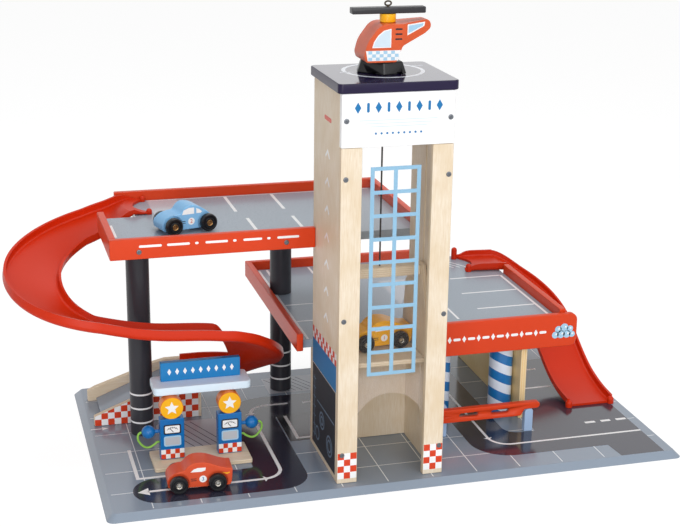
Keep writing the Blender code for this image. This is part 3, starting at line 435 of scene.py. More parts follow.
LIGHT_BLUE_INK = finish_coat("light_blue_ink", "#A6CDE6", 0.4, 12, 0.03, 0.6, 0.03)
LATTICE_INK = finish_coat("lattice_blue_ink", "#8FBAD6", 0.4, 12, 0.03, 0.6, 0.03)
PALE_GREY_BLUE_INK = finish_coat("pale_grey_blue_ink", "#D3DEE6", 0.4, 12, 0.03, 0.6, 0.03)
WINDOW_INK = finish_coat("window_pale_blue_ink", "#CFE0EC", 0.35, 12, 0.03, 0.6, 0.03, 0.1)
BLACK_INK = finish_coat("black_ink", "#26242A", 0.35, 12, 0.05, 0.6, 0.03, 0.1)
SLATE_INK = finish_coat("chalkboard_slate_ink", "#2C2D33", 0.5, 12, 0.1, 0.6, 0.05)
CHALK_INK = finish_coat("chalk_grey_blue_ink", "#6E7F93", 0.6, 4, 0.18, 0.5, 0.05)
RING_INK = finish_coat("landing_ring_pale_blue_ink", "#EEF5FF", 0.2, 20, 0.02, 0.8, 0.02, 0.3)
YELLOW_INK = finish_coat("yellow_ink", "#F7B512", 0.3, 12, 0.04, 0.6, 0.03, 0.2)

# Solvent lacquer sprayed on sanded MDF: an even satin colour with a trace of orange peel.
RED_LACQUER = finish_coat("red_satin_lacquer", "#D63F14", 0.38, 35, 0.03, 1.6, 0.03, 0.08)
NAVY_LACQUER = finish_coat("navy_satin_lacquer", "#1B1136", 0.3, 30, 0.05, 1.6, 0.03, 0.1)
NAVY_GLOSS = finish_coat("navy_gloss_print", "#2A2148", 0.12, 30, 0.05, 1.6, 0.01, 0.62, shine=0.3)
set_shader(NAVY_GLOSS.node_tree.nodes["Principled BSDF"], Coat_IOR=1.7, Coat_Roughness=0.05)
CHARCOAL = finish_coat("charcoal_satin_lacquer", "#35353B", 0.34, 30, 0.05, 1.4, 0.05, 0.1)
PUMP_BLUE = finish_coat("pump_blue_gloss_lacquer", "#126CB2", 0.28, 20, 0.04, 1.2, 0.03, 0.2)
SIGN_BLUE = finish_coat("sign_blue_satin_lacquer", "#1F7DBC", 0.35, 20, 0.03, 1.2, 0.03, 0.1)
PALE_BLUE = finish_coat("pale_blue_satin_lacquer", "#DDEFFC", 0.4, 20, 0.02, 1.2, 0.03, 0.1)
BARRIER_BLUE = finish_coat("barrier_blue_satin_lacquer", "#A3BCDD", 0.4, 20, 0.02, 1.2, 0.03, 0.1)
DISC_YELLOW = finish_coat("disc_yellow_gloss_lacquer", "#F6B40F", 0.3, 15, 0.03, 1.2, 0.03, 0.2)
DISC_ORANGE = finish_coat("disc_orange_lacquer", "#E0762A", 0.35, 15, 0.06, 1.2, 0.05, 0.2)
WHITE_LACQUER = finish_coat("white_satin_lacquer", "#F4F5F6", 0.3, 40, 0.015, 1.4, 0.04, 0.2)

# Water-based gloss on beech, with the long grain just telegraphing through the colour.
GRAIN = (0.25, 1, 1)
HELI_RED = finish_coat("helicopter_red_paint_on_beech", "#D65A30", 0.36, 5, 0.05, 0.9, 0.06, 0.1,
                       stretch=GRAIN)
CAR_RED = finish_coat("car_red_paint_on_beech", "#D4502C", 0.36, 4, 0.06, 0.8, 0.08, 0.1, stretch=GRAIN)
CAR_BLUE = finish_coat("car_blue_paint_on_beech", "#84BBE6", 0.36, 4, 0.05, 0.8, 0.08, 0.1, stretch=GRAIN)
CAR_YELLOW = finish_coat("car_yellow_paint_on_beech", "#F4AE18", 0.36, 4, 0.05, 0.8, 0.08, 0.1, stretch=GRAIN)
BLACK_PAINT = finish_coat("black_paint_on_beech", "#1B1B1D", 0.3, 5, 0.1, 0.9, 0.12, 0.25, stretch=GRAIN)
ROTOR_PAINT = finish_coat("rotor_charcoal_paint", "#2E2D31", 0.35, 5, 0.08, 0.9, 0.12, 0.2, stretch=GRAIN)

# Injection moulded: glossy skin with very shallow waves.
SLIDE_RED = finish_coat("red_moulded_abs", "#CC2E0A", 0.36, 70, 0.02, 3.0, 0.01)
TYRE_BLACK = finish_coat("black_moulded_plastic", "#1A1B1E", 0.3, 6, 0.1, 1.0, 0.08, 0.15)
HOSE_GREEN = finish_coat("green_pvc_hose", "#8CC152", 0.4, 3, 0.05, 0.5, 0.1)
CORD_BLACK = finish_coat("black_braided_cord", "#1C1B1D", 0.8, 1.5, 0.3, 0.6, 0.9)

# Rolled and stamped metal: a soft bright skin with faint dull patches.
STEEL = finish_coat("zinc_plated_steel", "#6C7076", 0.3, 2, 0.1, 0.4, 0.1)
BRASS = finish_coat("brushed_brass_eyelet", "#B98E5A", 0.3, 2, 0.1, 0.4, 0.15)
CHROME = finish_coat("bright_nickel_eyelet", "#CFCBC2", 0.22, 2, 0.08, 0.4, 0.1)
BRONZE_WIRE = finish_coat("dark_bronze_wire", "#4A4238", 0.35, 2, 0.1, 0.4, 0.1)
for metal in (STEEL, BRASS, CHROME, BRONZE_WIRE):
    set_shader(metal.node_tree.nodes["Principled BSDF"], Metallic=1.0)

# Birch plywood, one finish for each way a board can lie, and a brighter, warmer copy with painted warm bounce
# light.
PLY_SIDE = birch_ply("birch_ply_panel", 0, 2)
# The wash wall's ply is brighter and yellower than the others: painted warm bounce light inside the car-wash
# bay.
PLY_PAINTED_BOUNCE = birch_ply("birch_ply_panel_painted_warm_bounce", 0, 2, face="#FFE6B4", dark="#EFCE90")
PLY_FRONT = birch_ply("birch_ply_front", 1, 2)
PLY_LEVEL = birch_ply("birch_ply_level", 2, 0, ply=1.2)
PLY_RAMP = birch_ply("birch_ply_ramp", 1, 0)

# Cast acrylic sheet: clear, with the faint warm haze of its fine scratches, and a stronger pinkish veil over
# its foot, below the height of the lower deck.
ACRYLIC, acrylic_tree, acrylic_shader = new_material("clear_cast_acrylic")
in_place = add(acrylic_tree, "ShaderNodeTexCoord").outputs["Object"]
haze = add(acrylic_tree, "ShaderNodeTexNoise", {"Vector": in_place, "Scale": 30.0, "Detail": 3.0})
height = add(acrylic_tree, "ShaderNodeSeparateXYZ", {"Vector": in_place}).outputs["Z"]
# The pane is more opaque and pinkish below about 130 mm, and clear above about 140 mm.
veiled_foot = add(acrylic_tree, "ShaderNodeMapRange",
                {"Value": height, "From Min": 0.128, "From Max": 0.142, "To Min": 0.20, "To Max": 0.015})
thin_haze = calc(acrylic_tree, "MULTIPLY_ADD", haze.outputs["Fac"], veiled_foot.outputs["Result"], 0.01)
set_shader(acrylic_shader, Base_Color=colour("#E6D6CE"), Roughness=0.08, IOR=1.49, Alpha=thin_haze)


# Camera, solved from the corners of the base board and of the tower

camera = bpy.data.objects.new("camera", bpy.data.cameras.new("camera"))
bpy.context.scene.collection.objects.link(camera)
bpy.context.scene.camera = camera
RIGHT, UP, FORWARD = (0.96322, -0.26839, 0.01297), (0.06900, 0.29372, 0.95340), (0.25970, 0.91744, -0.30144)
EYE = (-0.4882, -1.6064, 0.7483)
camera.matrix_world = Matrix([(RIGHT[k], UP[k], -FORWARD[k], EYE[k]) for k in range(3)] + [(0, 0, 0, 1)])
camera.data.sensor_width = 36.0
camera.data.lens = 75.38
camera.data.shift_x, camera.data.shift_y = -0.00166, -0.00259
camera.data.clip_start, camera.data.clip_end = 0.05, 60.0


# Cords

def tube(name, points, radius):
    """A round tube along the points, with closed ends, as a mesh."""
    line = bpy.data.curves.new(name, "CURVE")
    line.dimensions = "3D"
    spline = line.splines.new("POLY")
    spline.points.add(len(points) - 1)
    for point, place in zip(spline.points, points):
        point.co = (*(Vector(place) * MM), 1.0)
    line.bevel_depth = radius * MM
    line.bevel_resolution = 5
    line.use_fill_caps = True
    piece = bpy.data.objects.new(name, line)
    bpy.context.scene.collection.objects.link(piece)
    only(piece)
    bpy.ops.object.convert(target="MESH")
    piece = bpy.context.object
    edit_all(piece, weld, face_out)
    smooth_off(piece)
    return piece


CORD_TOP, CORD_FOOT = (TOWER_X, -115.3, 435.0), (TOWER_X, -115.3, 250.3)
drop = CORD_FOOT[2] - CORD_TOP[2]
lift_route = [(*CORD_TOP[:2], CORD_TOP[2] + drop * k / 24) for k in range(25)]
lift_cord = tube("lift_cord_braid", lift_route, 1.0)
lift_cord.data.materials.append(CORD_BLACK)
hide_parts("lift_cord")
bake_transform(lift_cord)

for name, sign, side, ball in (("left", -1, -272.0, -285.2), ("right", 1, -174.4, -161.2)):
    route = [(ball + sign * 8.3, 48.5), (ball + sign * 9.9, 48.3), (ball + sign * 12.3, 45.0),
             (ball + sign * 11.9, 38.5), (ball + sign * 6.5, 31.0), (ball, 28.7), (ball - sign * 7.0, 32.0),
             (side + sign * 3.5, 34.5)]
    route = [(x, -65.5, z) for x, z in curve_through(route, 6)]
    route += [(side + sign * 1.8, -65.5, 34.8), (side + sign * 0.3, -65.5, 34.8)]
    route.reverse()
    hose = tube("hose_%s_tube" % name, route, 1.3)
    hose.data.materials.append(HOSE_GREEN)
    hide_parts("hose_" + name)
    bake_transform(hose)


# Base board and its print

def slope_edge_board():
    """The base: a board whose edge is planed at 45 degrees, with eased corners."""
    lower = rounded_box(-350, 350, -191.5, 191.5, 9.0)
    upper = rounded_box(-342, 342, -183.5, 183.5, 5.0)
    piece = flat_sheet(lower, "Z", 0.0)
    piece.name = "base_board_planed"
    thicken(piece, "Z", BASE_TOP)
    for corner in piece.data.vertices:
        if corner.co.z > 0.004:
            near = min(range(len(lower)), key=lambda k: (Vector(lower[k]) * MM - corner.co.xy).length)
            corner.co.x, corner.co.y = Vector(upper[near]) * MM
    sand(piece, 0.5, 2, 20)
    smooth_off(piece)
    return piece


dress(slope_edge_board(), "garage", BOARD_GREY, "printed_board", "base_board")

WHITE_LINE = 4.2
SLAB, SLAB_LINE_WIDE = 54.7, 1.1
ROAD_CENTRE = ([(-297, -139), (-162, -139)] + bend(-162, -115, 24, -90, 0) + [(-138, 46)]
               + bend(-114, 46, 24, 180, 90) + [(-84, 70)])


def base_ink(name, outlines, material, thick=OVER):
    top_ink(name, outlines, BASE_TOP, material, thick)


half = SLAB_LINE_WIDE / 2
base_ink("base_slab_lines_across", [box_outline(-339, 339, y - half, y + half)
                                    for y in (-137 + SLAB * k for k in range(6))], SLAB_LINE, LOWEST)
base_ink("base_slab_lines_along", [box_outline(x - half, x + half, -180, 181)
                                   for x in (-297 + SLAB * k for k in range(12))], SLAB_LINE, LOWER)
ROAD = rounded([(-314, -107, 31), (-314, -170, 31), (-110, -170, 36), (-110, 37, 12), (104, 37, 14),
                (104, -150, 46), (269, -150, 1), (272, -182, 1), (329, -182, 1), (329, 140, 6), (198, 140, 6),
                (198, -89, 1), (160, -89, 22), (160, 182, 1), (104, 182, 1), (104, 98, 14), (-168, 98, 56),
                (-168, -107, 4)], 10)
base_ink("base_road", [ROAD], ROAD_INK, LOW)
base_ink("base_tower_bay", [box_outline(-108, -60, -46, 37)], BAY_INK, MIDDLE)
base_ink("base_tower_bay_floor", [box_outline(-99, -60, -40, 31)], BAY_GREY)
zones = [rounded_box(-262, -182, -38, 46, 10), rounded_box(-100, -20, 106, 160, 1)]
base_ink("base_hatched_zones", zones, PALE_ZONE, UNDER)
hatch = ruled(1.2, *[[(-258 + 10 * k, 42 - 4 * (k == 0)), (-258 + 10 * k + 34, -34)] for k in range(5)])
hatch += ruled(1.2, *[[(-98 + 9 * k, 156), (-98 + 9 * k + 26, 110)] for k in range(6)])
base_ink("base_hatch_strokes", hatch, DARK_HATCH, HALFWAY)
white = ruled(WHITE_LINE, ROAD_CENTRE, [(-304, -24), (-304, -104), (-272, -104)],
              [(-97, 31), (-97, -38), (-60, -38)], [(-65, 68), (-50, 68)], [(-30, 68), (-10, 68)],
              [(10, 68), (30, 68)])
white += [[(-309, -139), (-296, -130), (-296, -148)], [(-320, 47), (-328, 51.5), (-328, 42.5)]]
white += ruled(1.6, [(-342, 47), (-327, 47)])
white += ruled(3.4, [(132, 180), (132, -95)] + bend(156, -95, 24, 180, 270) + [(329, -119)])
white += [box_outline(*sides) for sides in ((270, 284, -84, -79), (292, 305, -84, -79), (313, 327, -84, -79),
                                            (200, 281, 103, 107), (200, 277, 40.5, 44))]
base_ink("base_white_lines", white, WHITE_INK, TOPMOST)


# Decks, rails and pillars

refinish(DECK_GREY, "upper_deck", "lower_deck")
refinish(RED_LACQUER, "upper_fascia", "upper_left_rail", "upper_back_rail", "lower_back_rail",
         "lower_right_rail", "wash_fascia")
refinish(CHARCOAL, "pillar_left", "pillar_mid_lower", "pillar_mid_upper")
for name, x, y in (("left", -280.5, 25.7), ("mid", -80.7, 124.0)):
    rings = [turned("pillar_%s_ring_%d" % (name, k),
                    [(13.9, z - 1.1), (14.12, z - 1.1), (14.12, z + 1.1), (13.9, z + 1.1)], "Z", (x, y, 0))
             for k, z in enumerate((26.0, 44.5, 63.0))]
    dress(joined("pillar_%s_white_rings" % name, rings), "garage", WHITE_INK, "charcoal_paint")

top_ink("upper_deck_pale_zone", [box_outline(-252, -214, 66, 138)], UPPER_TOP, PALE_ZONE, UNDER)
bays = ruled(4.0, *[[(x, 62), (x, 134)] for x in (-152, -91, -30)], [(-144.5, -21), (-144.5, 30)],
             *[[(x, -21), (x, 28)] for x in (-88.5, -32)])
bays += ruled(6.0, [(-311, -17), (-311, 34)]) + ruled(1.6, [(-252, 136.4), (40, 136.4)])
top_ink("upper_deck_white_lines", bays, UPPER_TOP, WHITE_INK)
bays = ruled(3.0, [(-89, 218), (-89, -54)]) + ruled(3.4, [(229, 124), (229, -45)])
bays += ruled(3.2, [(-78, 219), (-78, 171)], [(-19, 219), (-19, 190)])
bays += ruled(3.0, *[[(x0, y), (x1, y)] for x0, x1, y in ((-87, -46, 70), (-87, -46, 8), (156, 227, 124),
                                                          (150, 227, 62), (149, 227, 1), (112, 124, 124))])
bays += ruled(3.0, [(112, 12), (112, -30)])
bays += ruled(1.6, *[[(162 + 9 * k, 197), (178 + 9 * k, 170)] for k in range(3)])
top_ink("lower_deck_white_lines", bays, LOWER_TOP, WHITE_INK)
top_ink("lower_deck_hatched_zone", [[(58, 138), (95, 138), (95, 128), (72, 66), (58, 40)]], LOWER_TOP,
        PALE_ZONE, UNDER)


# Slides

def eased(xs, ys, x):
    """Monotone cubic curve through a table, as the CAD source draws the slides' heights and banks."""
    steps = [b - a for a, b in zip(xs[:-1], xs[1:])]
    rise = [(b - a) / s for a, b, s in zip(ys[:-1], ys[1:], steps)]
    slope = [rise[0]]
    for i in range(1, len(rise)):
        w1, w2 = 2 * steps[i] + steps[i - 1], steps[i] + 2 * steps[i - 1]
        slope.append(0.0 if rise[i - 1] * rise[i] <= 0 else (w1 + w2) / (w1 / rise[i - 1] + w2 / rise[i]))
    slope.append(rise[-1])
    i = 0
    while i < len(steps) - 1 and x > xs[i + 1]:
        i += 1
    t = min(1.0, max(0.0, (x - xs[i]) / steps[i]))
    return ((1 + 2 * t) * (1 - t) ** 2 * ys[i] + t * (1 - t) ** 2 * steps[i] * slope[i]
            + t * t * (3 - 2 * t) * ys[i + 1] + t * t * (t - 1) * steps[i] * slope[i + 1])


def channel(name, path, heights, banks, side, width, height, ears, hollow, lip=()):
    """A moulded trough swept along a plan path: a grid moved onto the sweep, given a wall and a round lip.
    At its mouth the floor is drawn back in an arc of depth hollow, and ears gives the walls' height there."""
    lengths = [0.0]
    for (ax, ay), (bx, by) in zip(path[:-1], path[1:]):
        lengths.append(lengths[-1] + math.hypot(bx - ax, by - ay))
    wall = 3.1
    half, top, fillet = width / 2 - wall / 2, height - 0.02, 4.2
    floor = wall / 2
    middle = top - (top - floor - fillet) / 2
    section = ([(-half, top), (-half, middle)]
               + bend(-half + fillet, floor + fillet, fillet, 180, 270, 6)
               + [(half * share, floor) for share in (-0.7, -0.5, -0.25, 0.0, 0.25, 0.5, 0.7)]
               + bend(half - fillet, floor + fillet, fillet, 270, 360, 6)
               + [(half, middle), (half, top)])
    stations = []
    for i, (x, y) in enumerate(path):
        x0, y0 = path[max(0, i - 1)]
        x1, y1 = path[min(len(path) - 1, i + 1)]
        turn = math.atan2(y1 - y0, x1 - x0)
        u = lengths[i] / lengths[-1]
        stations.append((x, y, eased(*zip(*heights), u), side * math.sin(turn), -side * math.cos(turn),
                         math.radians(eased(*zip(*banks), u))))
    stations = list(lip) + stations
    bpy.ops.object.select_all(action="DESELECT")
    bpy.ops.mesh.primitive_grid_add(x_subdivisions=len(section) - 1, y_subdivisions=len(stations) - 1)
    piece = bpy.context.object
    piece.name = name
    x0, y0 = stations[0][:2]
    mouth, far_off = 30 * len(section), 99.0   # corners that may be near the mouth, and a way past its reach
    for n, corner in enumerate(piece.data.vertices):
        x, y, z, sx, sy, bank = stations[n // len(section)]
        off, up = section[n % len(section)]
        gone = math.hypot(x - x0, y - y0) if n < mouth else far_off
        drawn = hollow * (1 - (off / half) ** 2) * max(0.0, 1 - gone / (hollow * 2.4))
        x += math.copysign(drawn, path[1][0] - path[0][0])
        up = floor + (up - floor) * eased(*zip(*ears), min(gone, ears[-1][0]))
        across = off * math.cos(bank) - up * math.sin(bank)
        corner.co = Vector((x + sx * across, y + sy * across,
                            z + off * math.sin(bank) + up * math.cos(bank))) * MM
    modify(piece, "SOLIDIFY", thickness=wall * MM, offset=0.0, use_even_offset=True)
    sand(piece, 1.1, 3, 60)
    smooth_off(piece, 50)
    return piece


def left_path(fine=3):
    x0, ys, xl, ax, front, xr, bx, end_y = -276.0, 105.0, -335.2, 70.6, -36.0, -194.6, 61.0, 101.0
    ay, by = (ys - front) / 2, (end_y - front) / 2
    n, m = 26 * fine, 24 * fine
    path = [(x0 + (xl - x0) * i / (8 * fine), ys) for i in range(8 * fine + 1)]
    path += [(xl - ax * math.sin(math.pi * i / n), ys - ay + ay * math.cos(math.pi * i / n))
             for i in range(1, n + 1)]
    path += [(xl + (xr - xl) * i / (8 * fine), front) for i in range(1, 8 * fine + 1)]
    path += [(xr + bx * math.sin(math.pi * i / m), front + by - by * math.cos(math.pi * i / m))
             for i in range(1, m + 1)]
    path += [(xr + (-215.0 - xr) * i / 4, end_y) for i in range(1, 5)]
    return path


def right_path(fine=3):
    x0, ys, xs, a, b = 190.0, 179.3, 244.2, 56.1, 77.2
    n = 18 * fine
    drift, m = 6.5, 6 * fine
    path = [(x0 + (xs - x0) * i / m, ys - drift * i / m) for i in range(m + 1)]
    path += [(xs + a * math.sin(math.pi / 2 * i / n), ys - b + (b - drift) * math.cos(math.pi / 2 * i / n))
             for i in range(1, n + 1)]
    path += [(xs + a, ys - b + (-30.0 - ys + b) * i / (12 * fine)) for i in range(1, 12 * fine + 1)]
    return path


def knob(name, x, y, z, radius, height):
    """A moulded peg with a domed head."""
    dome = [(radius * math.cos(math.radians(t)), height - radius + radius * math.sin(math.radians(t)))
            for t in range(0, 91, 15)]
    return turned(name, [(0.0, 0.0), (radius, 0.0)] + dome[:-1] + [(0.0, height)], "Z", (x, y, z), 28)


LEFT_HEIGHTS = ((0, 275.3), (0.014, 271.2), (0.0264, 266.0), (0.045, 259.8), (0.0665, 254.5),
                (0.2221, 217.4), (0.3777, 180.4), (0.5333, 155.1), (0.665, 146.5), (0.69, 139.3),
                (0.716, 127.0), (0.742, 112.9), (0.769, 98.6), (0.797, 86.0), (0.825, 72.5), (0.8444, 65.5),
                (0.87, 57.8), (0.9, 53.0), (0.93, 52.1), (1, 52.1))
LEFT_BANKS = ((0, 0), (0.014, 4), (0.0264, 8), (0.045, 12), (0.0873, 16), (0.274, 10.6), (0.4814, 12.1),
              (0.7407, 11), (0.8963, 3), (0.9585, 0), (1, 0))
left_run = channel("left_slide_trough", left_path(), LEFT_HEIGHTS, LEFT_BANKS, 1, 68.0, 13.2,
                   ((0, 0.12), (10, 0.16), (21, 0.5), (28, 0.75), (37, 1.0)), 19.0,
                   [(-255.0 - 2.1 * k, 105.0, 275.3, 0.0, 1.0, 0.0) for k in range(10)])
left_pegs = [knob("left_slide_peg_%d" % k, -257.6, 105.0 + s * 30.2, 275.3, 3.6, 7.0)
             for k, s in enumerate((-1, 1))]
dress(joined("left_slide_moulding", [left_run] + left_pegs), "garage", SLIDE_RED, "red_plastic", "left_slide")

RIGHT_HEIGHTS = ((0, 144.3), (0.182, 144.3), (0.3, 116.5), (0.45, 82.5), (0.6, 49.0), (0.8, 18.5),
                 (0.92, 10.4), (1, 8.3))
RIGHT_BANKS = ((0, 0), (0.18, 0), (0.4, 2.0), (0.65, -4.0), (0.9, 0), (1, 0))
right_run = channel("right_slide_trough", right_path(), RIGHT_HEIGHTS, RIGHT_BANKS, -1, 64.0, 11.5,
                    ((0, 0.4), (6, 0.45), (14, 0.85), (22, 1.0)), 17.0)
right_pegs = [knob("right_slide_peg_%d" % k, *spec) for k, spec in enumerate((
    (192.0, 208.9, 144.3, 4.0, 17.0), (192.0, 149.7, 144.3, 4.0, 11.0),
    (270.7, -30.0, 8.3, 4.5, 9.5), (329.9, -30.0, 8.3, 4.5, 9.5)))]
dress(joined("right_slide_moulding", [right_run] + right_pegs), "garage", SLIDE_RED, "red_plastic",
      "right_slide")


# Ramp

refinish(PLY_RAMP, "ramp_front_wall", "ramp_back_wall")
refinish(BOARD_GREY, "ramp_deck")


def clip_under(outline, top):
    """Cuts an outline off above the line through the ramp wall's top edge, given as (x, z) points."""
    def limit(x):
        for (x0, z0), (x1, z1) in zip(top[:-1], top[1:]):
            if x0 <= x <= x1:
                return z0 + (z1 - z0) * (x - x0) / (x1 - x0)
        return top[-1][1]
    (a0, b0), (a1, _), (_, b1), _ = outline
    steps = 4
    upper = [(a0 + (a1 - a0) * k / steps, min(b1, limit(a0 + (a1 - a0) * k / steps)))
             for k in range(steps + 1)]
    if max(z for _, z in upper) <= b0 + 0.4:
        return None
    upper = [(x, max(z, b0 + 0.05)) for x, z in upper]
    return [(a0, b0), (a1, b0)] + upper[::-1]


FRONT_WALL_TOP = ((-336.0, 20.7), (-292.0, 37.9), (-270.0, 40.5), (-200.5, 41.0))
CHECK, RAMP_FRONT = 8.2, 56.0
for name, phase, material, thick in (("white", 1, WHITE_INK, MIDDLE), ("red", 0, RED_INK, OVER)):
    cells = [clip_under(cell, FRONT_WALL_TOP) for cell in squares(-335.6, 8.6, 16, 4, CHECK, CHECK, phase)]
    cells = [cell for cell in cells if cell]
    front_ink("ramp_wall_%s_checks" % name, cells, RAMP_FRONT, material, "birch_ply", thick)


# Tower

refinish(PLY_SIDE, "tower_left_panel", "tower_right_panel", "lift_left_cheek", "lift_right_cheek")
# The wash wall takes the warmer ply, whose colour holds painted warm bounce light.
refinish(PLY_PAINTED_BOUNCE, "wash_wall")
refinish(PLY_FRONT, "tower_left_post", "tower_right_post", "tower_back_board")
refinish(PLY_LEVEL, "lift_platform", "lift_crossbar")
refinish(WHITE_LACQUER, "tower_sign_board")
refinish(ACRYLIC, "window_pane")
refinish(NAVY_LACQUER, "roof_board")

screw = turned("screw_head", [(0.0, -0.6), (3.0, -0.6), (3.0, 0.2), (2.7, 0.75), (2.1, 0.95), (0.0, 1.05)],
               "Z", (0, 0, 0), 32)
slots = [board("screw_slot_%d" % k, box_outline(-a, a, -b, b), "Z", 0.55, 1.6, 0) for k, (a, b) in
         enumerate(((1.9, 0.38), (0.38, 1.9)))]
for cut in slots:
    modify(screw, "BOOLEAN", operation="DIFFERENCE", solver="EXACT", object=cut)
    bpy.data.objects.remove(cut)
TO_FRONT = Matrix.Rotation(math.radians(90), 4, "X")
SCREWS = [(x, TOWER_FRONT, z) for x in (-78.4, 39.3) for z in (433.6, 369.5, 206.5, 43.5)]
SCREWS += [(-290.0, -69.0, 271.5), (-119.0, -69.0, 271.5)]
for k, (x, y, z) in enumerate(SCREWS):
    spin_about = Matrix.Rotation(math.radians(17 + 31 * k), 4, "Z")
    place = Matrix.Translation(Vector((x, y, z)) * MM) @ TO_FRONT @ spin_about
    dress(copied(screw, "screw_%02d" % k, place), "garage", STEEL, "steel")
bpy.data.objects.remove(screw)

for name, x0 in (("left", TOWER_LEFT + 0.6), ("right", TOWER_RIGHT - 23.2)):
    for tint, phase, material, thick in (("white", 0, WHITE_INK, MIDDLE), ("red", 1, RED_INK, OVER)):
        cells = squares(x0, 14.0, 3, 4, 7.53, 8.0, phase)
        front_ink("post_%s_%s_checks" % (name, tint), cells, TOWER_FRONT, material, "birch_ply", thick)

# The side panel's print: a checked strip, a blue band and a slate board with a plain chalk pattern
side_ink("side_panel_white_strip", [box_outline(-164, -59, 149.5, 164.5)], WHITE_INK, UNDER)
side_ink("side_panel_red_checks", squares(-164, 149.5, 14, 2, 7.5, 7.5), RED_INK)
side_ink("side_panel_blue_band", [box_outline(-164, -59, 118, 149.5)], BLUE_INK, LOW)
side_ink("side_panel_slate", [box_outline(-163, -60, 15, 117)], SLATE_INK, LOW)
chalk = []
for y, z, r in ((-138, 40, 12), (-138, 40, 7), (-104, 58, 10), (-104, 58, 5), (-84, 34, 8)):
    chalk += ring(y, z, r, 2.2)
chalk += ruled(1.4, [(-70, 24), (-70, 104)], *[[(-75, z), (-65, z)] for z in range(28, 101, 12)])
chalk += ruled(1.6, [(-158, 76), (-82, 76)])
side_ink("side_panel_chalk_figures", chalk, CHALK_INK, x=TOWER_LEFT - 0.06)

# Window lattice printed on the pane
PANE_FACE = -164.7
BAR_HEIGHTS = (377.7, 351.0, 324.2, 297.2, 270.4, 244.2, 217.6, 191.9, 163.6, 137.2)
bars = [box_outline(-48, 10, z - 2.2, z + 2.2) for z in BAR_HEIGHTS]
front_ink("pane_lattice_bars", bars, PANE_FACE, LATTICE_INK, "clear_sheet")
stiles = [box_outline(x - 2.3, x + 2.3, 135, 379.9) for x in (-45.7, -19.1, 7.7)]
front_ink("pane_lattice_stiles", stiles, PANE_FACE, LATTICE_INK, "clear_sheet", OVER)


def diamond(a, b, half_wide, half_high):
    return [(a - half_wide, b), (a, b - half_high), (a + half_wide, b), (a, b + half_high)]


# Tower sign: a plain row of diamonds and bars over pale ruled lines
MARK = 11.5   # from one mark of the row to the next
row = [diamond(TOWER_X + MARK * k, 447.5, 3.6, 6.2) for k in (-4, -2, 0, 2, 4)]
row += [rounded_box(TOWER_X + MARK * k - 1.5, TOWER_X + MARK * k + 1.5, 442.2, 452.8, 1.4, 4)
        for k in (-3, -1, 1, 3)]
front_ink("sign_board_diamonds", row, TOWER_FRONT, BLUE_INK, "birch_ply")
pale_lines = ruled(1.0, *[[(TOWER_X - w, z), (TOWER_X + w, z)]
                          for w, z in ((44, 433.5), (38, 430.0), (32, 426.5))])
front_ink("sign_board_ruled_lines", pale_lines, TOWER_FRONT, PALE_GREY_BLUE_INK, "birch_ply")
dots = [circle_outline(TOWER_X + 6.4 * k, 419.0, 1.25, 16) for k in range(-4, 5)]
front_ink("sign_board_dots", dots, TOWER_FRONT, BLUE_INK, "birch_ply")

# Side panel: white chevrons that climb towards a small red bar
chevrons = [stroke([(-126, z), (-117.5, z + 7.5), (-109, z)], 3.0)
            for z in (190, 222, 254, 286, 318, 350, 382)]
side_ink("side_panel_chevrons", chevrons, WHITE_INK, MIDDLE)
side_ink("side_panel_red_bar", [rounded_box(-132, -103, 423, 428, 2.4)], RED_INK, MIDDLE)

# Roof: glossy navy board with its landing print
top_ink("roof_gloss_print", [rounded_box(-87.0, 47.0, -174.0, -52.0, 5.2)], ROOF_TOP, NAVY_GLOSS, UNDER)
landing = ring(-16.5, -101, 44.5, 4.5)
landing += [box_outline(-68, -52, -106, -104.6), box_outline(24, 38, -79, -77.6)]
top_ink("roof_landing_ring", landing, ROOF_TOP, RING_INK)


# Winch

refinish(RED_LACQUER, "winch_crank")


# Helicopter

HELI_Y, HELI_HALF, TAIL_HALF = -113.0, 20.0, 7.0
TAIL_START, TAIL_END = -5.0, 32.8


def tail_slope(x):
    """How far the side has drawn in towards the tail's end."""
    return (HELI_HALF - TAIL_HALF) * min(1.0, max(0.0, (x - TAIL_START) / (TAIL_END - TAIL_START)))


def helicopter_body():
    """A board cut to the side view, planed to a slim tail and sanded round."""
    side = rounded([(-46.0, 488.3, 4), (-11.5, 488.3, 2.5), (-4.4, 505.6, 6), (24.0, 517.6, 8),
                    (33.0, 524.0, 7), (28.5, 533.0, 6), (-3.0, 529.5, 14), (-30.0, 529.5, 16),
                    (-44.6, 510.0, 30), (-48.3, 496.0, 9)], 10)
    piece = flat_sheet(side, "Y", -HELI_HALF)
    piece.name = "heli_body_sanded"
    thicken(piece, "Y", 2 * HELI_HALF)
    edit_all(piece, lambda: bpy.ops.mesh.bisect(plane_co=(TAIL_START * MM, 0, 0), plane_no=(1, 0, 0)))
    for corner in piece.data.vertices:
        drawn_in = tail_slope(corner.co.x / MM) * MM
        corner.co.y += HELI_Y * MM - math.copysign(drawn_in, corner.co.y)
    sand(piece, 2.1, 4, 50)
    smooth_off(piece, 50)
    return piece


refinish(BLACK_PAINT, "heli_skid")
dress(helicopter_body(), "helicopter", HELI_RED, "red_paint", "heli_body")
refinish(DISC_YELLOW, "heli_hub")
refinish(ROTOR_PAINT, "heli_rotor")
refinish(BRONZE_WIRE, "heli_eye_pin")


def heli_print(tag, outlines, material, out, thick):
    """A print on the helicopter's side that follows it in towards the tail."""
    layer = printed(tag, outlines, "Y", HELI_Y + out * HELI_HALF, out, thick)
    for corner in layer.data.vertices:
        corner.co.y -= out * tail_slope(corner.co.x / MM) * MM
    dress(layer, "helicopter", material, "red_paint")


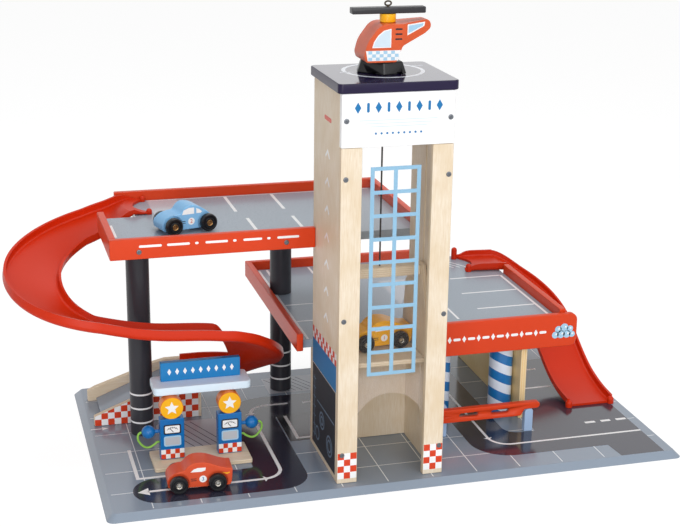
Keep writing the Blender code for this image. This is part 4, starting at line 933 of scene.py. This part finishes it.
HELI_PRINTS = (
    ("window_frame", [[(-39.4, 504.4), (-37.4, 511.0), (-32.8, 517.8), (-26.4, 523.0), (-18.0, 524.9),
                       (-18.0, 504.4)]], WHITE_INK, LOW),
    ("window", [[(-38.2, 505.3), (-36.2, 510.6), (-31.9, 517.0), (-25.9, 521.9), (-18.9, 523.6),
                 (-18.9, 505.3)]], WINDOW_INK, OVER),
    ("tail_window_frame", [[(1.0, 528.6), (23.6, 530.2), (22.6, 525.6), (1.0, 516.8)]], WHITE_INK, LOW),
    ("tail_window", [[(2.4, 527.3), (21.8, 528.8), (21.0, 526.2), (2.4, 518.9)]], LIGHT_BLUE_INK, OVER),
    ("white_band", [[(-44.2, 490.3), (-9.6, 490.3), (-6.6, 501.4), (-46.4, 501.4)]], WHITE_INK, LOW),
    ("blue_checks", squares(-43.6, 490.6, 8, 3, 4.3, 3.5), LIGHT_BLUE_INK, OVER),
    ("vents", [rounded_box(-13.4, -5.4, z - 0.9, z + 0.9, 0.85, 3) for z in (513.4, 518.8, 524.2)],
     BLACK_INK, OVER),
)
for side, out in BOTH_SIDES:
    for what, outlines, tint, thick in HELI_PRINTS:
        heli_print("heli_%s_%s" % (side, what), outlines, tint, out, thick)


# Fuel pumps

PUMP_FRONT, PUMP_W, PUMP_FOOT, PUMP_HEAD, DISC_Z = -72.0, 28.6, 13.6, 65.1, 78.3
DISC_EDGE = [(0.0, 0.0), (13.0, 0.0), (13.8, 0.8), (13.8, 14.2), (13.0, 15.0), (0.0, 15.0)]
DIAL_Z = 45.5


def dial_marks(x):
    """A gauge's arc, five ticks and its needle."""
    rays = [(math.cos(math.radians(t)), math.sin(math.radians(t))) for t in range(60, 121, 15)]
    ticks = [stroke([(x + 7.2 * a, DIAL_Z + 7.2 * b), (x + 9.6 * a, DIAL_Z + 9.6 * b)], 0.5) for a, b in rays]
    needle = stroke([(x + 1.2, 48.2), (x - 2.6, 52.6)], 0.8)
    return [stroke(bend(x, DIAL_Z, 8.6, 40, 140, 14), 0.5)] + ticks + [needle]


for name, x in (("left", -257.7), ("right", -188.7)):
    x0, x1 = x - PUMP_W / 2, x + PUMP_W / 2
    dress(board("pump_%s_case" % name, box_outline(x0, x1, PUMP_FRONT, PUMP_FRONT + 13), "Z", PUMP_FOOT,
                PUMP_HEAD, 1.0), "garage", PUMP_BLUE, "blue_paint", "pump_" + name)
    dress(turned("pump_%s_disc" % name, DISC_EDGE, "Y", (x, PUMP_FRONT, DISC_Z), 64), "garage", DISC_ORANGE,
          "yellow_paint", "pump_" + name)
    for what, outlines, tint, thick in (
            ("disc_face", [circle_outline(x, DISC_Z, 13.2)], YELLOW_INK, UNDER),
            ("star", [star(x, DISC_Z, 8.6, 4.0)], WHITE_INK, OVER),
            ("dial_frame", [rounded_box(x - 10.4, x + 10.4, 45.6, 58.0, 2.2)], BLACK_INK, UNDER),
            ("dial", [rounded_box(x - 8.8, x + 8.8, 47.2, 56.4, 1.4)], WHITE_INK, HALFWAY),
            ("dial_marks", dial_marks(x), BLACK_INK, OVER),
            ("panel_frame", [rounded_box(x - 10.2, x + 10.2, 30.4, 43.4, 2.4)], LIGHT_BLUE_INK, UNDER),
            ("panel", [rounded_box(x - 8.6, x + 8.6, 32.0, 41.8, 1.4)], PALE_ZONE, OVER),
            ("white_checks", squares(x0 + 0.5, 14.6, 5, 2, 5.52, 5.9, 1), WHITE_INK, LOW),
            ("red_checks", squares(x0 + 0.5, 14.6, 5, 2, 5.52, 5.9, 0), RED_INK, OVER)):
        slot = "yellow_paint" if what in ("disc_face", "star") else "blue_paint"
        front_ink("pump_%s_%s" % (name, what), outlines, PUMP_FRONT, tint, slot, thick)
    refinish(PUMP_BLUE, "nozzle_" + name)

dress(board("pump_island_board", rounded_box(-282, -166, -94, -43, 2.0), "Z", 8.3, 13.3, 0.6), "garage",
      PLY_LEVEL, "birch_ply", "pump_island")
dress(board("canopy_board", rounded_box(-277, -161, -66, -26, 6, 8), "Z", 92.4, 102.0, 1.2), "garage",
      PALE_BLUE, "pale_blue_paint", "pump_canopy")
dress(board("canopy_sign_block", box_outline(-266, -170.5, -46, -38), "Z", 102.0, 125.5, 0.7), "garage",
      SIGN_BLUE, "blue_paint", "pump_canopy")


# Car wash and barrier

def striped(name, x, y, pitch=26.0, slope=0.45):
    """Blue and white screen-printed paper wound in a slanting stripe round a beech roller."""
    material, tree, shader = new_material(name)
    place = add(tree, "ShaderNodeTexCoord").outputs["Object"]
    shift = {"Vector": place, "Location": (-x * MM, -y * MM, 0)}
    place = add(tree, "ShaderNodeMapping", shift).outputs["Vector"]
    part = add(tree, "ShaderNodeSeparateXYZ", {"Vector": place}).outputs
    height = calc(tree, "ADD", part["Z"], calc(tree, "MULTIPLY", part["X"], slope))
    cycle = calc(tree, "FRACT", calc(tree, "MULTIPLY", height, 1000 / pitch))
    tone = add(tree, "ShaderNodeTexNoise", {"Vector": place, "Scale": 90.0, "Detail": 3.0})
    blue = mix(tree, tone.outputs["Fac"], colour("#0B62A8"), colour("#177BBE"))
    stripes = mix(tree, calc(tree, "LESS_THAN", cycle, 0.5), colour("#DCE6F4"), blue)
    set_shader(shader, Base_Color=stripes, Roughness=0.35, IOR=1.5, Coat_Weight=0.2)
    return material


refinish(striped("roller_left_blue_white_stripes", 91.0, -20.0), "roller_left")
refinish(striped("roller_right_blue_white_stripes", 176.0, -20.0), "roller_right")
refinish(BARRIER_BLUE, "boom_rest", "boom_post")
refinish(RED_LACQUER, "boom")

# Plain white marks along the red fascias and the blue canopy sign
UPPER_FASCIA_Y, WASH_FASCIA_Y, SIGN_BLOCK_Y = -69.0, -65.0, -46.0
dashes = [rounded_box(x, x + w, 276.6, 279.4, 1.3, 4) for x, w in
          ((-290, 26), (-258, 26), (-226, 4), (-214, 26), (-182, 4), (-170, 22), (-142, 4), (-130, 26))]
front_ink("upper_fascia_dashes", dashes, UPPER_FASCIA_Y, WHITE_INK, "red_paint")
bars = [rounded_box(x, x + 9.5, 128.4, 131.8, 1.6, 4) for x in range(74, 216, 19)]
bars += [diamond(x + 14.2, 130.1, 2.6, 4.4) for x in range(74, 200, 19)]
front_ink("wash_fascia_bars", bars, WASH_FASCIA_Y, WHITE_INK, "red_paint")
row = [diamond(-218.2 + 9.4 * k, 113.8, 2.3, 4.2) for k in range(-4, 5)]
front_ink("canopy_sign_dots", row, SIGN_BLOCK_Y, WHITE_INK, "blue_paint")

# Fascia of the car wash: plain suds in white and light blue at its ends
SUDS = ((-11, -1, 4.6), (-3.4, -0.6, 5.2), (4.6, -0.8, 5.0), (11.6, -1.4, 4.0), (-7.4, 6.2, 4.4),
        (0.6, 8.0, 5.4), (8.4, 6.0, 4.2))
for tag, x in (("left", 52.0), ("right", 240.0)):
    bubbles = [circle_outline(x + dx, 126 + dz, r, 28) for dx, dz, r in SUDS]
    shown = [b for b in bubbles if min(p[0] for p in b) > 45]
    shine = [circle_outline(p[0][0] - 3.4, p[0][1] + 0.8, 1.3, 16) for p in shown]
    front_ink("wash_fascia_suds_" + tag, shown, WASH_FASCIA_Y, LIGHT_BLUE_INK, "red_paint", UNDER)
    front_ink("wash_fascia_suds_%s_shine" % tag, shine, WASH_FASCIA_Y, WHITE_INK, "red_paint", OVER)


# Cars

COUPE_LINE = [(-34.0, 6.0), (-34.8, 12.0), (-33.0, 17.5), (-28.0, 21.8), (-21.9, 24.2), (-16.0, 25.2),
              (-11.4, 30.0), (-5.5, 33.4), (2.5, 34.4), (10.6, 33.4), (18.7, 30.4), (26.8, 27.2),
              (34.0, 25.2), (38.4, 24.8), (39.8, 22.0), (38.8, 8.0)]
ROUND_LINE = [(-34.0, 6.0), (-34.8, 12.0), (-31.4, 18.0), (-25.4, 21.6), (-18.0, 22.8), (-11.5, 23.8),
              (-6.6, 29.4), (-1.3, 32.4), (6.6, 32.0), (14.7, 28.6), (21.6, 23.8), (28.0, 18.4),
              (33.0, 12.6), (35.2, 7.0)]
CAR_HALF = 14.0
WHEEL_R, WHEELBASE = 10.5, 44.0
WELL = [(0, -1.2), (12.2, -1.2), (12.2, 2.0), (0, 2.0)]
FLASH = [(27.5, 20.4), (33.0, 17.8), (36.5, 19.2), (36.5, 20.4), (33.0, 19.6)]
INNER = CAR_HALF + 0.4   # where a wheel begins, out from the middle of the car
TYRE = [(2.0, INNER), (8.6, INNER), (WHEEL_R, INNER + 1.6), (WHEEL_R, INNER + 5.2),
        (WHEEL_R - 0.5, INNER + 6.3), (9.3, INNER + 7.0), (8.3, INNER + 7.0), (7.7, INNER + 6.4),
        (7.2, INNER + 5.6), (6.2, INNER + 5.6), (5.7, INNER + 6.6), (4.6, INNER + 6.9), (2.0, INNER + 6.9)]
EYELET = [(1.4, INNER + 5.0), (3.6, INNER + 6.6), (3.6, INNER + 7.2), (3.2, INNER + 7.7), (2.7, INNER + 7.4),
          (2.1, INNER + 6.2), (1.4, INNER + 5.6)]
SHAFT = [(0.0, -INNER - 6.0), (2.0, -INNER - 6.0), (2.0, INNER + 6.0), (0.0, INNER + 6.0)]
CARS = (
    ("car_red", (-240.6, -136.0, 8.3), -3.5, COUPE_LINE, CAR_RED, "red_paint", CHROME,
     [[(-8.6, 23.2), (-4.7, 26.6), (-0.4, 28.0), (8.9, 27.9), (8.4, 24.4), (3.9, 23.0)]],
     (5.7, 13.9), "3", BLUE_INK),
    ("car_blue", (-226.0, -2.4, 275.3), 15.0, ROUND_LINE, CAR_BLUE, "blue_paint", BRASS,
     [[(-10.0, 22.2), (-8.0, 27.4), (-1.3, 29.6), (5.3, 29.6), (5.3, 22.2)],
      [(8.2, 28.4), (12.0, 26.8), (15.6, 23.6), (14.0, 22.2), (8.2, 22.2)]],
     (1.7, 13.4), "2", RED_INK),
    ("car_yellow", (-14.5, -94.0, 144.3), 6.8, COUPE_LINE, CAR_YELLOW, "yellow_paint", CHROME,
     [[(-9.0, 22.4), (-6.0, 26.6), (-0.4, 28.6), (7.5, 28.2), (7.5, 22.8)]], (3.0, 13.6), "1", RED_INK),
)


def number(name, text, x, z, out, size=6.4):
    """A plain race number, cut as a thin layer on the car's side."""
    bpy.ops.object.select_all(action="DESELECT")
    bpy.ops.object.text_add()
    piece = bpy.context.object
    piece.data.body = text
    piece.data.size = size * MM
    piece.data.extrude = 0.1 * MM
    piece.data.align_x, piece.data.align_y = "CENTER", "CENTER"
    bpy.ops.object.convert(target="MESH")
    piece = bpy.context.object
    piece.name = name
    turn = Matrix.Rotation(0 if out < 0 else math.pi, 4, "Z") @ TO_FRONT
    moved(piece, Matrix.Translation(Vector((x, out * (CAR_HALF + 0.14), z)) * MM) @ turn)
    return piece


for name, spot, turn, line, paint, slot, eyelet, windows, (disc_x, disc_z), digit, digit_ink in CARS:
    place = Matrix.Translation(Vector(spot) * MM) @ Matrix.Rotation(math.radians(turn), 4, "Z")
    side_line = [(-31.5, 4.0), (line[-1][0] - 2.0, 4.0)] + curve_through(line, 5)[::-1]
    shell = board(name + "_shell", side_line, "Y", -CAR_HALF, CAR_HALF, 0)
    sand(shell, 2.6, 4, 50)
    for x in (-WHEELBASE / 2, WHEELBASE / 2):
        for side, out in BOTH_SIDES:
            well = turned("wheel_well", WELL, "Y", (x, out * CAR_HALF, WHEEL_R))
            if side == "far":   # as deep as on the near side
                moved(well, Matrix.Translation((0, -0.8 * MM, 0)))
            modify(shell, "BOOLEAN", operation="DIFFERENCE", solver="EXACT", object=well)
            bpy.data.objects.remove(well)
    smooth_off(shell, 30)
    dress(moved(shell, place), name, paint, slot, name + "_body")
    for side, out in BOTH_SIDES:
        face, tag = out * CAR_HALF, "%s_%s_" % (name, side)
        stripes = ruled(0.8, *[[(disc_x - 14, z), (disc_x - 7.5, z)] for z in (disc_z + 0.8, disc_z - 1.4)])
        disc = [circle_outline(disc_x, disc_z, 4.2, 36)]
        marks = ("windows", windows, WHITE_INK), ("roundel", disc, WHITE_INK), ("stripes", stripes, BLACK_INK)
        for what, outlines, tint in marks:
            dress(moved(printed(tag + what, outlines, "Y", face, out, MIDDLE), place), name, tint, slot)
        dress(moved(number(tag + "number", digit, disc_x, disc_z, out), place), name, digit_ink, slot)
    if name == "car_red":
        for side, out in BOTH_SIDES:
            flash = printed("car_red_%s_flash" % side, [FLASH], "Y", out * CAR_HALF, out, MIDDLE)
            dress(moved(flash, place), name, YELLOW_INK, slot)
    for key, x in (("front", -WHEELBASE / 2), ("rear", WHEELBASE / 2)):
        middle = (x, 0, WHEEL_R)
        tyres = [turned("tyre_" + side, [(r, out * d) for r, d in TYRE], "Y", middle)
                 for side, out in BOTH_SIDES]
        metal = [turned("hub_" + side, [(r, out * d) for r, d in EYELET], "Y", middle, 32)
                 for side, out in BOTH_SIDES]
        metal.append(turned("axle", SHAFT, "Y", middle, 24))
        body, node = "%s_%s_axle" % (name, key), "%s_wheels_%s" % (name, key)
        dress(moved(joined(node + "_tyres", tyres), place), body, TYRE_BLACK, "black_plastic", node)
        dress(moved(joined(node + "_eyelets", metal), place), body, eyelet, "steel")


# Floor, light and world

FLOOR_GLOW, FLOOR_WHITE = 0.74, 1.17   # share of the floor that is plain white to the eye, and its level
WORLD_LIGHT = 0.42
PURE_WHITE = (1, 1, 1, 1)


def seen_directly(tree):
    """1 for rays from the camera, off a shiny face or through a clear one, and 0 for light on matt faces."""
    rays = add(tree, "ShaderNodeLightPath").outputs
    seen = calc(tree, "MAXIMUM", rays["Is Camera Ray"], rays["Is Glossy Ray"])
    return calc(tree, "MAXIMUM", seen, rays["Is Transmission Ray"])


bpy.ops.object.select_all(action="DESELECT")
bpy.ops.mesh.primitive_plane_add(size=60.0, location=(0, 0, -0.0003))
floor = bpy.context.object
floor.name = "studio_floor"
floor_material = bpy.data.materials.new("pale_studio_floor")
floor_material.use_nodes = True
tree = floor_material.node_tree
tree.nodes.clear()
share = calc(tree, "MULTIPLY", seen_directly(tree), FLOOR_GLOW)
matt = add(tree, "ShaderNodeBsdfDiffuse", {"Color": (0.9, 0.9, 0.9, 1)}).outputs["BSDF"]
bright = add(tree, "ShaderNodeEmission", {"Color": PURE_WHITE, "Strength": FLOOR_WHITE}).outputs["Emission"]
mixed = add(tree, "ShaderNodeMixShader", {0: share, 1: matt, 2: bright})
add(tree, "ShaderNodeOutputMaterial", {"Surface": mixed.outputs["Shader"]})
floor.data.materials.append(floor_material)

world = bpy.data.worlds.new("studio")
bpy.context.scene.world = world
world.use_nodes = True
tree = world.node_tree
tree.nodes.clear()
soft = add(tree, "ShaderNodeBackground", {"Color": PURE_WHITE, "Strength": WORLD_LIGHT}).outputs["Background"]
white = add(tree, "ShaderNodeBackground", {"Color": PURE_WHITE, "Strength": 1.0}).outputs["Background"]
mixed = add(tree, "ShaderNodeMixShader", {0: seen_directly(tree), 1: soft, 2: white})
add(tree, "ShaderNodeOutputWorld", {"Surface": mixed.outputs["Shader"]})


def softbox(name, place, target, size, power):
    lamp = bpy.data.objects.new(name, bpy.data.lights.new(name, "AREA"))
    bpy.context.scene.collection.objects.link(lamp)
    lamp.data.shape = "DISK"
    lamp.data.size = size
    lamp.data.energy = power
    lamp.location = place
    lamp.rotation_euler = (Vector(target) - Vector(place)).to_track_quat("-Z", "Y").to_euler()


softbox("key_softbox", (0.75, -2.3, 1.35), (0, 0, 0.15), 1.5, 19.5)
softbox("front_softbox", (-0.85, -2.3, 0.8), (0, 0, 0.2), 1.6, 22.5)
softbox("top_softbox", (0.1, 0.3, 2.3), (0, 0, 0.1), 1.8, 16)

scene = bpy.context.scene
scene.view_settings.view_transform = "Standard"
